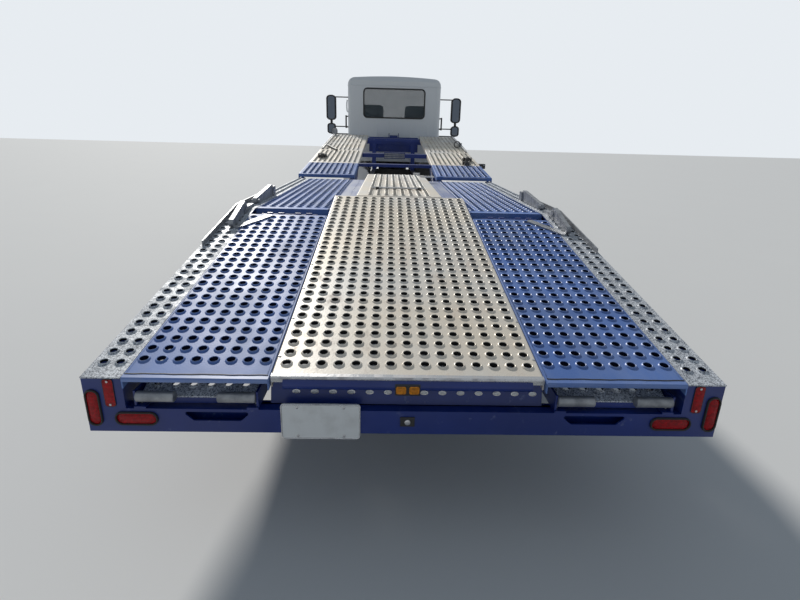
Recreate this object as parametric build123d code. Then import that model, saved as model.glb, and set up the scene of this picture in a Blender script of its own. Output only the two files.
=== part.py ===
from build123d import *
import os
from math import atan2, cos, degrees, hypot, pi, sin

# Car transporter truck: a bonneted day cab ahead of a low vehicle deck that slopes down to the rear.
# Millimetres. X is to the truck's right, Y is forward, Z is up, with Z = 0 at the ground.
# Lengths along the truck are given from the rear face and moved to the middle by at().

# Overall sizes
LENGTH = 11960.0
WIDTH = 2438.0
DECK_HEIGHT = 1100.0
TAIL_LENGTH = 2060.0
TAIL_FALL = 340.0
MID_DECK_LENGTH = 2600.0
FRONT_DECK_RISE = 470.0
CAB_LENGTH = 1530.0
CAB_WIDTH = 1900.0
CAB_ROOF = 2760.0
NOSE_LENGTH = 1160.0
REAR_AXLE = 3900.0
FRONT_OVERHANG = 980.0

# Gaps along the truck
DECK_STEP = 100.0
DECK_TO_CAB = 190.0
PANEL_GAP = 3.0
RUNNING = 0.3

# Widths across the deck
EDGE_STRIP = 149.0
TRACK_WIDTH = 545.0
FRONT_TRACK_WIDTH = 700.0
FLAP_WIDTH = 700.0

# Deck plates
PLATE = 5.0
FLANGE = 45.0
FRONT_FLANGE = 60.0
PANEL_REACH = 370.0
FLAP_RISE = 65.0
TRACK_HINGE_GAP = 110.0
SLOT_WIDTH = 34.0
SLOT_BRIDGE = 60.0
SLOT_MARGIN = 25.0

# Ladder frame
RAIL_DROP = 140.0
FRAME_WIDTH = 864.0
RAIL_FLANGE = 80.0
RAIL_DEPTH = 254.0
RAIL_WALL = 9.0
RAIL_REAR = 330.0
RAIL_END_DEPTH = 90.0
MEMBER_WIDTH = 80.0
MEMBER_WALL = 12.0
MEMBER_COUNT = 6

# Wheels and axles
TYRE_RADIUS = 464.0
TYRE_WIDTH = 250.0
TYRE_SIDES = 48
RIM_RADIUS = 286.0
RIM_WALL = 14.0
HAND_HOLES = 10
DUAL_PITCH = 290.0
HUB_BORE = 45.0
FRONT_WHEEL_X = 1010.0
KINGPIN_X = 885.0
KINGPIN_RADIUS = 22.0
KINGPIN_HEIGHT = 485.0
AXLE_TUBE = 75.0

# Rear face and stowed ramps
FACE = 12.0
EDGE = 8.0
FACE_PLATE = 8.0
FACE_DEPTH = 230.0
LEDGE_DROP = 130.0
LEDGE_DEPTH = 60.0
LIP_BAR_RADIUS = 20.0
LIP_BAR_HALF = 475.0
RAMP_DROP = 122.0
RAMP_IN = 585.0
RAMP_OUT = 1025.0
RAMP_LENGTH = 1900.0
RAMP_DEPTH = 82.0
RAMP_HOOK_RADIUS = 21.0

# Front deck hinge and lift cylinders
FRONT_HINGE_X = (560.0, 1170.0)
FRONT_PIN = 20.0
LIFT_X = 640.0
LIFT_BASE_REACH = 1510.0
LIFT_EYE_REACH = 2610.0
LIFT_BASE_DROP = 160.0
LIFT_EYE_DROP = 107.0
LIFT_PIN = 15.0
LIFT_PLAY = 6.0
BARREL_RADIUS = 45.0
ROD_RADIUS = 22.0
CHEEK = 12.0
EYE_WIDTH = 38.0

# Places that follow from those sizes
HALF = WIDTH / 2
MID_DECK_END = TAIL_LENGTH + MID_DECK_LENGTH
MID_MEMBER = TAIL_LENGTH + 1140
FRONT_DECK_START = MID_DECK_END + DECK_STEP
CAB_FRONT = LENGTH - NOSE_LENGTH
CAB_REAR = CAB_FRONT - CAB_LENGTH
FRONT_DECK_END = CAB_REAR - DECK_TO_CAB
FRONT_AXLE = LENGTH - FRONT_OVERHANG
TAIL_EDGE_HEIGHT = DECK_HEIGHT - TAIL_FALL
FRONT_DECK_LOW = DECK_HEIGHT + 50
SLOPE = TAIL_FALL / TAIL_LENGTH
FRONT_SLOPE = FRONT_DECK_RISE / (FRONT_DECK_END - FRONT_DECK_START)
TRACK_OUT = HALF - EDGE_STRIP
TRACK_IN = TRACK_OUT - TRACK_WIDTH
CENTRE_HALF = TRACK_IN - PANEL_GAP
FLAP_START = TAIL_LENGTH + PANEL_REACH + 6
FLAP_HEIGHT = DECK_HEIGHT + FLAP_RISE
FRAME_HALF = FRAME_WIDTH / 2
FRAME_IN = FRAME_HALF - RAIL_FLANGE
RAIL_TOP = DECK_HEIGHT - RAIL_DROP
RAIL_BOTTOM = RAIL_TOP - RAIL_DEPTH
RAIL_FRONT = LENGTH - 180
CAB_FLOOR = RAIL_TOP + 140
FRONT_TRACK_IN = HALF - FRONT_TRACK_WIDTH
DUAL_OUTER_X = HALF - TYRE_WIDTH / 2 - 12
DUAL_INNER_X = DUAL_OUTER_X - DUAL_PITCH
FACE_BOTTOM = TAIL_EDGE_HEIGHT - FACE_DEPTH
LEDGE_HEIGHT = TAIL_EDGE_HEIGHT - LEDGE_DROP
RAMP_FLOOR = TAIL_EDGE_HEIGHT - RAMP_DROP
TAIL_HINGE = TAIL_LENGTH - TRACK_HINGE_GAP
FRONT_HINGE = FRONT_DECK_START + 30
FRONT_HINGE_Z = DECK_HEIGHT - 25
LIFT_BASE = FRONT_HINGE + LIFT_BASE_REACH
LIFT_BASE_Z = RAIL_TOP - LIFT_BASE_DROP
LIFT_EYE = FRONT_HINGE + LIFT_EYE_REACH
LIFT_EYE_Z = FRONT_DECK_LOW + FRONT_SLOPE * (LIFT_EYE - FRONT_DECK_START) - LIFT_EYE_DROP


def at(distance):
    """Y of a place measured forward from the rear face."""
    return distance - LENGTH / 2


def tail_line(distance):
    """Height of the tail's slope, carried on past the level deck."""
    return TAIL_EDGE_HEIGHT + SLOPE * distance


def deck(distance):
    """Height of the tail and middle deck's top face."""
    return min(tail_line(distance), DECK_HEIGHT)


def front_deck(distance):
    """Height of the raised front tracks' top face."""
    return FRONT_DECK_LOW + FRONT_SLOPE * (distance - FRONT_DECK_START)


def block(x0, x1, d0, d1, z0, z1):
    """A box from its limits, with lengths from the rear face."""
    return Pos((x0 + x1) / 2, at((d0 + d1) / 2), (z0 + z1) / 2) * Box(x1 - x0, d1 - d0, z1 - z0)


def outline(points, radius=0):
    """A flat face through points, with every corner rounded where a radius is given."""
    face = make_face(Polyline(*points, close=True))
    if radius:
        face = fillet(face.vertices(), radius)
    return face


def side_face(face, x0, x1):
    """Extrude a face given as (distance, height) along X."""
    return extrude(Plane.YZ.offset(x0) * (Pos(-LENGTH / 2, 0) * face), amount=x1 - x0)


def side(points, x0, x1, radius=0):
    """A prism along X whose outline is given as (distance, height)."""
    return side_face(outline(points, radius), x0, x1)


def across(face, d0, d1):
    """Extrude a face given as (X, height) forward along the truck."""
    return Pos(0, at(d0), 0) * extrude(Plane.XZ * face, amount=d0 - d1)


def cross_rod(x0, x1, d, z, radius):
    """A round bar along X."""
    return Pos((x0 + x1) / 2, at(d), z) * Rot(0, 90, 0) * Cylinder(radius, x1 - x0)


def long_rod(x, d0, d1, z, radius):
    """A round bar along the truck."""
    return Pos(x, at((d0 + d1) / 2), z) * Rot(90, 0, 0) * Cylinder(radius, d1 - d0)


def pair(solid):
    """A solid and its mirror image on the other side."""
    return [solid, mirror(solid, about=Plane.YZ)]


def fuse(solids):
    result = solids[0]
    for solid in solids[1:]:
        result = result + solid
    return result


def sloped(x0, x1, d0, z0, d1, z1, depth):
    """A slab whose top runs straight from (d0, z0) to (d1, z1)."""
    return side([(d0, z0), (d1, z1), (d1, z1 - depth), (d0, z0 - depth)], x0, x1)


def tread_plate(x0, x1, d0, z0, d1, z1, flange):
    """A deck plate with both long edges folded down."""
    return fuse([
        sloped(x0, x1, d0, z0, d1, z1, PLATE),
        sloped(x0, x0 + PLATE, d0, z0, d1, z1, flange),
        sloped(x1 - PLATE, x1, d0, z0, d1, z1, flange),
    ])


def slots(x0, x1, height, columns, fields):
    """Lengthwise slots through a plate whose top face is at height(d), in fields of (start, end, rows)."""
    pitch = (x1 - x0 - 2 * SLOT_MARGIN) / columns
    cuts = []
    for start, end, rows in fields:
        reach = (end - start) / rows
        for row in range(rows):
            d0 = start + row * reach + SLOT_BRIDGE / 2
            d1 = d0 + reach - SLOT_BRIDGE
            for column in range(columns):
                x = x0 + SLOT_MARGIN + (column + 0.5) * pitch
                cuts.append(sloped(x - SLOT_WIDTH / 2, x + SLOT_WIDTH / 2, d0, height(d0) + 1, d1,
                                   height(d1) + 1, PLATE + 2))
    return cuts


def lever(tail, nose, x0, x1):
    """An upright flat lever between two round ends, each (distance, height, radius)."""
    ends = [Pos(d, z) * Circle(r) for d, z, r in (tail, nose)]
    return side_face(make_hull(ends[0].edges() + ends[1].edges()), x0, x1)


def turned(profile):
    """A solid turned about the X axis; profile is (along X, radius)."""
    return revolve(make_face(Polyline(*profile, close=True)), axis=Axis.X)


def save(name, solids):
    shape = solids[0] if len(solids) == 1 else Compound(children=list(solids))
    export_step(shape, f"parts/{name}.step")


def left_and_right(name, solid):
    """Write a right-hand piece and its mirror image as two nodes."""
    save(name + "_right", [solid])
    save(name + "_left", [mirror(solid, about=Plane.YZ)])


# Ladder frame
def frame_rails():
    """The two channel rails with the brackets that they carry."""
    knee = (RAIL_TOP + FLANGE + 30 - TAIL_EDGE_HEIGHT) / SLOPE
    end_top = deck(RAIL_REAR) - FLANGE - 30

    def rail_outline(wall, reach):
        return [(RAIL_REAR - reach, end_top - RAIL_END_DEPTH + wall), (RAIL_REAR + 500, RAIL_BOTTOM + wall),
                (RAIL_FRONT + reach, RAIL_BOTTOM + wall), (RAIL_FRONT + reach, RAIL_TOP - wall),
                (knee, RAIL_TOP - wall), (RAIL_REAR - reach, end_top - wall)]

    rail = (side(rail_outline(0, 0), FRAME_IN, FRAME_HALF)
            - side(rail_outline(RAIL_WALL, 1), FRAME_IN - 1, FRAME_HALF - RAIL_WALL))
    return pair(fuse([rail] + lift_bracket() + hood_hinge() + cab_mounts()))


def frame_members():
    """Open channels between the rails, spaced evenly from behind the rear axle to the cab."""
    web = FRAME_HALF - RAIL_WALL
    rise = 30
    members = []
    for index in range(MEMBER_COUNT):
        d = RAIL_REAR + 1570 + index * (CAB_REAR + 230 - RAIL_REAR - 1570) / (MEMBER_COUNT - 1)
        channel = block(-web, web, d - MEMBER_WIDTH / 2, d + MEMBER_WIDTH / 2, RAIL_BOTTOM + rise,
                        RAIL_TOP - rise)
        hollow = block(-web + MEMBER_WALL, web - MEMBER_WALL, d - MEMBER_WIDTH / 2 + MEMBER_WALL,
                       d + MEMBER_WIDTH,
                       RAIL_BOTTOM + rise + MEMBER_WALL, RAIL_TOP - rise - MEMBER_WALL)
        members.append(channel - hollow)
    return members


def cab_mounts():
    return [block(FRAME_IN, FRAME_HALF, d, d + 90, RAIL_TOP, CAB_FLOOR) for d in (CAB_REAR + 70,
                                                                                  CAB_FRONT - 300)]


def air_tanks():
    """Two brake air tanks slung under the rails ahead of the rear axle."""
    radius = 110
    tank = long_rod(FRAME_HALF - RAIL_FLANGE / 2, REAR_AXLE + 1150, REAR_AXLE + 1800, RAIL_BOTTOM - radius,
                    radius)
    return pair(fillet(tank.edges(), 35))


# Wheels
def tyre_ring():
    """A tyre with a flat tread, bevelled shoulders and a bulging side wall, all of flat faces."""
    half = TYRE_WIDTH / 2
    bore = RIM_RADIUS / cos(pi / TYRE_SIDES)
    wall = [(half - 28, bore), (half, RIM_RADIUS + 72), (half - 8, TYRE_RADIUS - 58),
            (half - 34, TYRE_RADIUS)]
    profile = [(-x, r) for x, r in wall] + list(reversed(wall))
    turns = [2 * pi * side / TYRE_SIDES for side in range(TYRE_SIDES)]
    rings = [[(x, r * cos(turn), r * sin(turn)) for turn in turns] for x, r in profile]
    faces = []
    for near, far in zip(rings, rings[1:] + rings[:1]):
        for here in range(TYRE_SIDES):
            after = (here + 1) % TYRE_SIDES
            corners = [near[here], near[after], far[after], far[here]]
            faces.append(Face(Wire.make_polygon(corners, close=True)))
    return Solid(Shell(faces))


def rim(face, hub_out):
    """A disc wheel of barrel, dished disc with hand holes, and hub; face is where the disc stands."""
    half = TYRE_WIDTH / 2 - 24
    inner = RIM_RADIUS - RIM_WALL
    disc = turned([(-half, RIM_RADIUS), (half, RIM_RADIUS), (half, inner), (face + 14, inner - 14),
                   (face + 14, 150),
                   (face + hub_out, 130), (face + hub_out, HUB_BORE + RUNNING),
                   (face - 60, HUB_BORE + RUNNING),
                   (face - 60, 110), (face, 140), (face, inner - 14), (-half, inner - 6)])
    hole = Pos(face, 0, 205) * Rot(0, 90, 0) * Cylinder(30, 80)
    return disc - [Rot(index * 360 / HAND_HOLES, 0, 0) * hole for index in range(HAND_HOLES)]


def wheel_place(x, axle):
    return Pos(x, at(axle), TYRE_RADIUS)


def front_wheel():
    centre = wheel_place(FRONT_WHEEL_X, FRONT_AXLE)
    return centre * tyre_ring(), centre * rim(30, 75)


def rear_wheels():
    """Twin tyres, and their two rims bolted face to face as one solid."""
    inner = wheel_place(DUAL_INNER_X, REAR_AXLE)
    outer = wheel_place(DUAL_OUTER_X, REAR_AXLE)
    disc_place = DUAL_PITCH / 2 - 14
    discs = outer * rim(-disc_place, 90) + inner * rim(disc_place, 14)
    return [inner * tyre_ring(), outer * tyre_ring()], discs


# Axles
def front_axle():
    """Forged I-beam with a bored eye at each kingpin."""
    wide, narrow = 50, 12
    half_profile = [(wide, -45), (wide, -30), (narrow, -15), (narrow, 15), (wide, 30), (wide, 45)]
    profile = half_profile + [(-d, z) for d, z in reversed(half_profile)]
    beam = side([(FRONT_AXLE + d, KINGPIN_HEIGHT + z) for d, z in profile], -KINGPIN_X, KINGPIN_X)
    eye = Pos(KINGPIN_X, at(FRONT_AXLE), KINGPIN_HEIGHT) * Cylinder(48, 110)
    bore = Pos(KINGPIN_X, at(FRONT_AXLE), KINGPIN_HEIGHT) * Cylinder(KINGPIN_RADIUS + RUNNING, 200)
    return [beam + pair(eye) - pair(bore)]


def knuckle():
    """Steering knuckle: kingpin, two lugs, spindle and steering arm."""
    lug_rise = 76
    pin = Pos(KINGPIN_X, at(FRONT_AXLE), KINGPIN_HEIGHT) * Cylinder(KINGPIN_RADIUS, 2 * lug_rise + 38)
    plate = block(KINGPIN_X + 54, KINGPIN_X + 76, FRONT_AXLE - 60, FRONT_AXLE + 60,
                  KINGPIN_HEIGHT - lug_rise - 15,
                  KINGPIN_HEIGHT + lug_rise + 15)
    forging = [pin, plate]
    for z in (KINGPIN_HEIGHT - lug_rise, KINGPIN_HEIGHT + lug_rise):
        forging.append(Pos(KINGPIN_X, at(FRONT_AXLE), z) * Cylinder(46, 30))
        forging.append(block(KINGPIN_X, KINGPIN_X + 60, FRONT_AXLE - 40, FRONT_AXLE + 40, z - 15, z + 15))
    forging.append(cross_rod(KINGPIN_X + 70, FRONT_WHEEL_X + 118, FRONT_AXLE, TYRE_RADIUS, HUB_BORE))
    forging.append(block(KINGPIN_X - 20, KINGPIN_X + 20, FRONT_AXLE - 190, FRONT_AXLE - 30,
                         KINGPIN_HEIGHT - lug_rise - 14, KINGPIN_HEIGHT - lug_rise + 14))
    return fuse(forging)


def rear_axle():
    """Banjo axle with the differential's nose and a brake chamber each side."""
    tube = cross_rod(-DUAL_INNER_X + 20, DUAL_INNER_X - 20, REAR_AXLE, TYRE_RADIUS, AXLE_TUBE)
    stub = cross_rod(-DUAL_OUTER_X + 20, DUAL_OUTER_X - 20, REAR_AXLE, TYRE_RADIUS, HUB_BORE)
    banjo = Pos(0, at(REAR_AXLE), TYRE_RADIUS) * Rot(0, 90, 0) * Cylinder(215, 230)
    banjo = fillet(banjo.edges(), 80)
    nose = Pos(0, at(REAR_AXLE) + 200, TYRE_RADIUS) * Rot(90, 0, 0) * Cone(110, 60, 260)
    chamber = long_rod(FRAME_HALF + 50, REAR_AXLE + 60, REAR_AXLE + 230, TYRE_RADIUS, 70)
    return [tube + stub + banjo + nose + pair(chamber)]


def leaf_springs():
    """Leaf packs with their hangers, under both rails at both axles."""
    springs = []
    middle = FRAME_HALF - RAIL_FLANGE / 2
    for d, reach, seat in ((FRONT_AXLE, 640, KINGPIN_HEIGHT + 45), (REAR_AXLE, 700, TYRE_RADIUS + AXLE_TUBE)):
        end = RAIL_BOTTOM - 60
        pack = side([(d - reach, end), (d - 120, seat), (d + 120, seat), (d + reach, end),
                     (d + reach, end + 20),
                     (d + 150, seat + 60), (d - 150, seat + 60), (d - reach, end + 20)], middle - 38,
                     middle + 38)
        hangers = [block(middle - 40, middle + 40, h - 45, h + 45, RAIL_BOTTOM - 75, RAIL_BOTTOM)
                   for h in (d - reach, d + reach)]
        springs += pair(fuse([pack] + hangers))
    return springs


# Tail and middle deck structure
def side_rails():
    """Channel along each edge of the deck, under the strip, down to the rear corner boxes."""
    depth = 110
    wall = 8
    rail = [(FACE, deck(FACE) - PLATE), (TAIL_LENGTH, DECK_HEIGHT - PLATE),
            (MID_DECK_END, DECK_HEIGHT - PLATE),
            (MID_DECK_END, DECK_HEIGHT - depth), (TAIL_LENGTH, DECK_HEIGHT - depth),
            (260, deck(260) - depth - 25),
            (110, FACE_BOTTOM), (FACE, FACE_BOTTOM)]
    top = PLATE + wall + 1
    channel = [(300, deck(300) - top), (TAIL_LENGTH, DECK_HEIGHT - top),
               (MID_DECK_END + 1, DECK_HEIGHT - top),
               (MID_DECK_END + 1, DECK_HEIGHT - depth + wall), (TAIL_LENGTH, DECK_HEIGHT - depth + wall),
               (300, deck(300) - depth - 5)]
    return pair(side(rail, TRACK_OUT, HALF) - side(channel, TRACK_OUT - 1, HALF - wall))


def edge_strips():
    """Bare metal walkway strip on each side rail."""
    strip = [(EDGE, deck(EDGE)), (TAIL_LENGTH, DECK_HEIGHT), (MID_DECK_END, DECK_HEIGHT),
             (MID_DECK_END, DECK_HEIGHT - PLATE), (TAIL_LENGTH, DECK_HEIGHT - PLATE),
             (EDGE, deck(EDGE) - PLATE)]
    return pair(side(strip, TRACK_OUT, HALF))


def deck_frame():
    """Cross-members on the ladder frame that carry the middle deck, and the front deck's hinge beam."""
    seat = DECK_HEIGHT - FLANGE
    wide = [block(-TRACK_OUT, TRACK_OUT, d - 30, d + 30, RAIL_TOP, seat)
            for d in (TAIL_LENGTH + 60, MID_MEMBER, MID_DECK_END - 50)]
    over_axle = block(-FRAME_HALF - 60, FRAME_HALF + 60, REAR_AXLE - 30, REAR_AXLE + 30, RAIL_TOP, seat)
    return wide + [over_axle, front_hinge_beam()]


def tail_frame():
    """Rear cross-member with its ramp mouths, the ramp guides, and the sloping cross-members."""
    pieces = [
        block(-TRACK_OUT, TRACK_OUT, FACE, FACE + FACE_PLATE, FACE_BOTTOM, LEDGE_HEIGHT),
        block(-TRACK_OUT, TRACK_OUT, FACE, FACE + LEDGE_DEPTH, LEDGE_HEIGHT - FACE_PLATE, LEDGE_HEIGHT),
        block(-TRACK_OUT, TRACK_OUT, FACE, FACE + LEDGE_DEPTH + 30, FACE_BOTTOM, FACE_BOTTOM + FACE_PLATE),
    ]
    foot, head = FACE + LEDGE_DEPTH - FACE_PLATE, FACE + LEDGE_DEPTH + 20
    top = deck(head) - FLANGE
    pieces.append(side([(foot, LEDGE_HEIGHT - 1), (foot + FACE_PLATE, LEDGE_HEIGHT - 1),
                        (head + FACE_PLATE, top),
                        (head, top)], -RAMP_IN + 50, RAMP_IN - 50))
    pieces += lip_bar()
    for x in (RAMP_IN - 14, RAMP_OUT + 6):
        guide = block(x, x + 8, FACE + FACE_PLATE, RAMP_LENGTH + 80, RAMP_FLOOR - 8, RAMP_FLOOR + 62)
        hangers = [side([(d - 30, RAMP_FLOOR + 60), (d + 30, RAMP_FLOOR + 60), (d + 30, deck(d + 30) - 75),
                         (d - 30, deck(d - 30) - 75)], x, x + 8) for d in tail_member_places()]
        pieces += pair(fuse([guide] + hangers))
    for x0, x1 in ((RAMP_IN - 14, RAMP_IN + 30), (RAMP_OUT - 30, RAMP_OUT + 14)):
        pieces += pair(block(x0, x1, FACE, RAMP_LENGTH + 80, RAMP_FLOOR - 8, RAMP_FLOOR))
    for d in tail_member_places():
        pieces.append(sloped(-TRACK_OUT, TRACK_OUT, d - 30, deck(d - 30) - FLANGE, d + 30,
                             deck(d + 30) - FLANGE, 30))
    return [fuse(pieces + tail_hinges()) - face_slots()]


def tail_member_places():
    return (0.34 * TAIL_LENGTH, 0.66 * TAIL_LENGTH, TAIL_HINGE)


def lip_bar():
    """Round bar on short stubs under the rear lip of the centre panel."""
    d = EDGE + LIP_BAR_RADIUS
    z = TAIL_EDGE_HEIGHT - PLATE - LIP_BAR_RADIUS
    stubs = [block(x - 12, x + 12, d, FACE + LEDGE_DEPTH + 22, z - 17, z - 5) for x in (-400, 0, 400)]
    return [cross_rod(-LIP_BAR_HALF, LIP_BAR_HALF, d, z, LIP_BAR_RADIUS)] + stubs


def face_slots():
    """Hand slots in the rear face under each ramp, wider at the top."""
    middle = (RAMP_IN + RAMP_OUT) / 2 - 75
    low, high = LEDGE_HEIGHT - 50, LEDGE_HEIGHT - 12
    slot = outline([(middle - 90, low), (middle + 90, low), (middle + 132, high), (middle - 132, high)], 8)
    return pair(across(slot, FACE - 1, FACE + FACE_PLATE + 1))


def tail_hinges():
    """Hinge knuckles on the bar at the front edge of each tail track."""
    middle = (TRACK_IN + TRACK_OUT) / 2
    z = deck(TAIL_HINGE) - 16
    rod = cross_rod(middle - 200, middle + 200, TAIL_HINGE, z, 12)
    knuckles = []
    for x in (middle - 140, middle - 60, middle + 60, middle + 140):
        knuckles.append(cross_rod(x - 20, x + 20, TAIL_HINGE, z, 22))
        knuckles.append(block(x - 20, x + 20, TAIL_HINGE - 22, TAIL_HINGE + 22,
                              deck(TAIL_HINGE) - FLANGE - 5, z))
    return pair(fuse([rod] + knuckles))


def tail_lamps():
    """Oval lamps and upright reflectors of the rear corners."""
    lamps = []
    for from_edge, above, wide, high, turn in ((31, 102, 154, 56, 90), (185, 58, 163, 58, 0)):
        lamp = Pos(HALF - from_edge, FACE_BOTTOM + above) * SlotOverall(wide, high, rotation=turn)
        lamps += pair(across(lamp, 0, FACE))
    lamps += pair(across(Pos(HALF - 97, FACE_BOTTOM + 166) * RectangleRounded(40, 116, 10), FACE - EDGE,
                         FACE))
    return lamps


def number_plate():
    return [across(Pos(-334, FACE_BOTTOM + 54) * RectangleRounded(305, 152, 14), FACE - 6, FACE)]


def ramps():
    """A stowed loading ramp: slotted plate, rungs beneath, and the two tube ends that hook the rear face."""
    top = RAMP_FLOOR + RAMP_DEPTH
    plate = block(RAMP_IN, RAMP_OUT, 40, RAMP_LENGTH, top - PLATE, top)
    pieces = [
        plate - slots(RAMP_IN, RAMP_OUT, lambda d: top, 6, [(30, RAMP_LENGTH, 4)]),
        block(RAMP_IN, RAMP_IN + PLATE, 40, RAMP_LENGTH, RAMP_FLOOR + RUNNING, top),
        block(RAMP_OUT - PLATE, RAMP_OUT, 40, RAMP_LENGTH, RAMP_FLOOR + RUNNING, top),
    ]
    pieces += [block(RAMP_IN + 1, RAMP_OUT - 1, d, d + 30, top - 40, top - 1)
               for d in (0.25 * RAMP_LENGTH, 0.5 * RAMP_LENGTH, 0.75 * RAMP_LENGTH)]
    hook = RAMP_FLOOR + RAMP_HOOK_RADIUS + 17
    for x in (RAMP_IN + 67, RAMP_OUT - 67):
        pieces.append(cross_rod(x - 72, x + 72, FACE + 12, hook, RAMP_HOOK_RADIUS))
        pieces.append(block(x - 15, x + 15, FACE + 12, 60, hook, top - 1))
    return fuse(pieces)


def tail_tracks():
    """Sloping wheel track each side, up to the hinge bar."""
    end = TAIL_HINGE - 30
    track = tread_plate(TRACK_IN, TRACK_OUT, EDGE, deck(EDGE), end, deck(end), FLANGE)
    return pair(track - slots(TRACK_IN, TRACK_OUT, deck, 8, [(EDGE + 40, end - 10, 4)]))


def mid_tracks():
    """Level wheel track each side, its rear edge folded down too."""
    track = tread_plate(TRACK_IN, TRACK_OUT, TAIL_LENGTH, DECK_HEIGHT, MID_DECK_END, DECK_HEIGHT, FLANGE)
    fold = block(TRACK_IN, TRACK_OUT, TAIL_LENGTH, TAIL_LENGTH + PLATE, DECK_HEIGHT - FLANGE, DECK_HEIGHT)
    fields = [(TAIL_LENGTH + 20, MID_MEMBER, 2), (MID_MEMBER, MID_DECK_END - 10, 3)]
    return pair(track + fold - slots(TRACK_IN, TRACK_OUT, deck, 8, fields))


def centre_panel():
    """Wide middle panel of the tail, which runs on past the level deck at its own slope."""
    end = TAIL_LENGTH + PANEL_REACH
    panel = tread_plate(-CENTRE_HALF, CENTRE_HALF, EDGE, tail_line(EDGE), end, tail_line(end), FLANGE)
    return [panel - slots(-CENTRE_HALF, CENTRE_HALF, tail_line, 12, [(EDGE + 40, end, 5)])]


def centre_flap():
    """Narrow raised flap with a stop bar on two small lugs."""
    half = FLAP_WIDTH / 2
    plate = tread_plate(-half, half, FLAP_START, FLAP_HEIGHT, MID_DECK_END + 80, FLAP_HEIGHT,
                        FLAP_RISE + FLANGE)
    d = FLAP_START + 480
    bar = block(-235, 235, d, d + 22, FLAP_HEIGHT + 8, FLAP_HEIGHT + 24)
    lugs = [block(x - 14, x + 14, d - 10, d + 32, FLAP_HEIGHT - 1, FLAP_HEIGHT + 24) for x in (-190, 190)]
    fields = [(FLAP_START + 10, d - 20, 1), (d + 40, MID_DECK_END + 80, 4)]
    plate = plate - slots(-half, half, lambda distance: FLAP_HEIGHT, 8, fields)
    return [fuse([plate, bar] + lugs)]


def infill_plates():
    """Plain plates between the flap and the wheel tracks, with a shallow groove along each."""
    groove_x = (FLAP_WIDTH / 2 + TRACK_IN) / 2
    plate = tread_plate(FLAP_WIDTH / 2 + 2, TRACK_IN, FLAP_START + 4, DECK_HEIGHT, MID_DECK_END,
                        DECK_HEIGHT, FLANGE)
    groove = block(groove_x - 4, groove_x + 4, FLAP_START, MID_DECK_END + 1, DECK_HEIGHT - 2, DECK_HEIGHT + 1)
    return pair(plate - groove)


def side_arms():
    """Levers along the strips with their pivots, outer rails, and flat bars across the tracks."""
    x0 = TRACK_OUT + 38
    x1 = x0 + 30
    arms = pair(fuse([
        lever((1640, deck(1640) + 29, 26), (1935, deck(1935) + 45, 42), x0, x1),
        cross_rod(x0 - 8, x1 + 8, 1935, deck(1935) + 45, 22),
        side([(1900, deck(1900)), (TAIL_LENGTH, DECK_HEIGHT), (TAIL_LENGTH + 90, DECK_HEIGHT),
              (TAIL_LENGTH + 90, DECK_HEIGHT + 22), (1900, DECK_HEIGHT + 22)], x0 - 4, x1 + 4),
    ]))
    arms += pair(fuse([
        lever((2270, DECK_HEIGHT + 25, 25), (2790, DECK_HEIGHT + 53, 48), x0, x1),
        block(x0 - 12, x1 + 6, 2800, 2880, DECK_HEIGHT, DECK_HEIGHT + 84),
        cross_rod(x0 - 20, x1 + 12, 2270, DECK_HEIGHT + 25, 14),
    ]))
    arms += pair(sloped(HALF - 22, HALF - 14, 1300, deck(1300) + 34, TAIL_LENGTH, DECK_HEIGHT + 34, 34)
                 + block(HALF - 22, HALF - 14, TAIL_LENGTH, 3050, DECK_HEIGHT, DECK_HEIGHT + 34))
    low = Vector(x0 - 1, at(1610), deck(1610))
    high = Vector(x0 - 188, at(1890), deck(1890))
    along = high - low
    up = Vector(0, -SLOPE, 1).normalized()
    thick = 10
    plane = Plane(origin=(low + high) * 0.5 + up * (thick / 2), x_dir=along.normalized(), z_dir=up)
    return arms + pair(extrude(plane * SlotOverall(along.length, 50), amount=thick / 2, both=True))


def mudflaps():
    """Rubber flap behind each pair of rear wheels, hung from an arm on the frame."""
    d = REAR_AXLE - TYRE_RADIUS - 140
    flap = block(FRAME_HALF + 220, HALF - 5, d, d + 8, 280, RAIL_TOP)
    arm = block(FRAME_HALF + 220, HALF - 5, MID_MEMBER + 30, d + 8, RAIL_TOP, RAIL_TOP + 10)
    return pair(flap + arm)


# Raised front deck
def front_tracks():
    """Raised tracks with their hinge lugs and the pins of the lift cylinders."""
    track = tread_plate(FRONT_TRACK_IN, HALF, FRONT_DECK_START, FRONT_DECK_LOW, FRONT_DECK_END,
                        FRONT_DECK_LOW + FRONT_DECK_RISE, FRONT_FLANGE)
    fields = [(FRONT_DECK_START + 80, LIFT_EYE - 60, 5), (LIFT_EYE + 60, FRONT_DECK_END - 30, 3)]
    track = track - slots(FRONT_TRACK_IN, HALF, front_deck, 8, fields)
    track = track + sloped(FRONT_TRACK_IN, HALF, FRONT_DECK_START, FRONT_DECK_LOW, FRONT_DECK_START + PLATE,
                           front_deck(FRONT_DECK_START + PLATE), FRONT_FLANGE - 20)
    for x in FRONT_HINGE_X:
        track = track + lug_under_deck(x - 10, x + 10, FRONT_HINGE, FRONT_HINGE_Z, 25)
        track = track - cross_rod(x - 20, x + 20, FRONT_HINGE, FRONT_HINGE_Z, FRONT_PIN + RUNNING)
    outer = EYE_WIDTH / 2 + 6 + CHEEK
    for x in (LIFT_X - outer, LIFT_X + outer - CHEEK):
        track = track + lug_under_deck(x, x + CHEEK, LIFT_EYE, LIFT_EYE_Z, 28)
    return pair(track + cross_rod(LIFT_X - outer, LIFT_X + outer, LIFT_EYE, LIFT_EYE_Z, LIFT_PIN))


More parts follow.
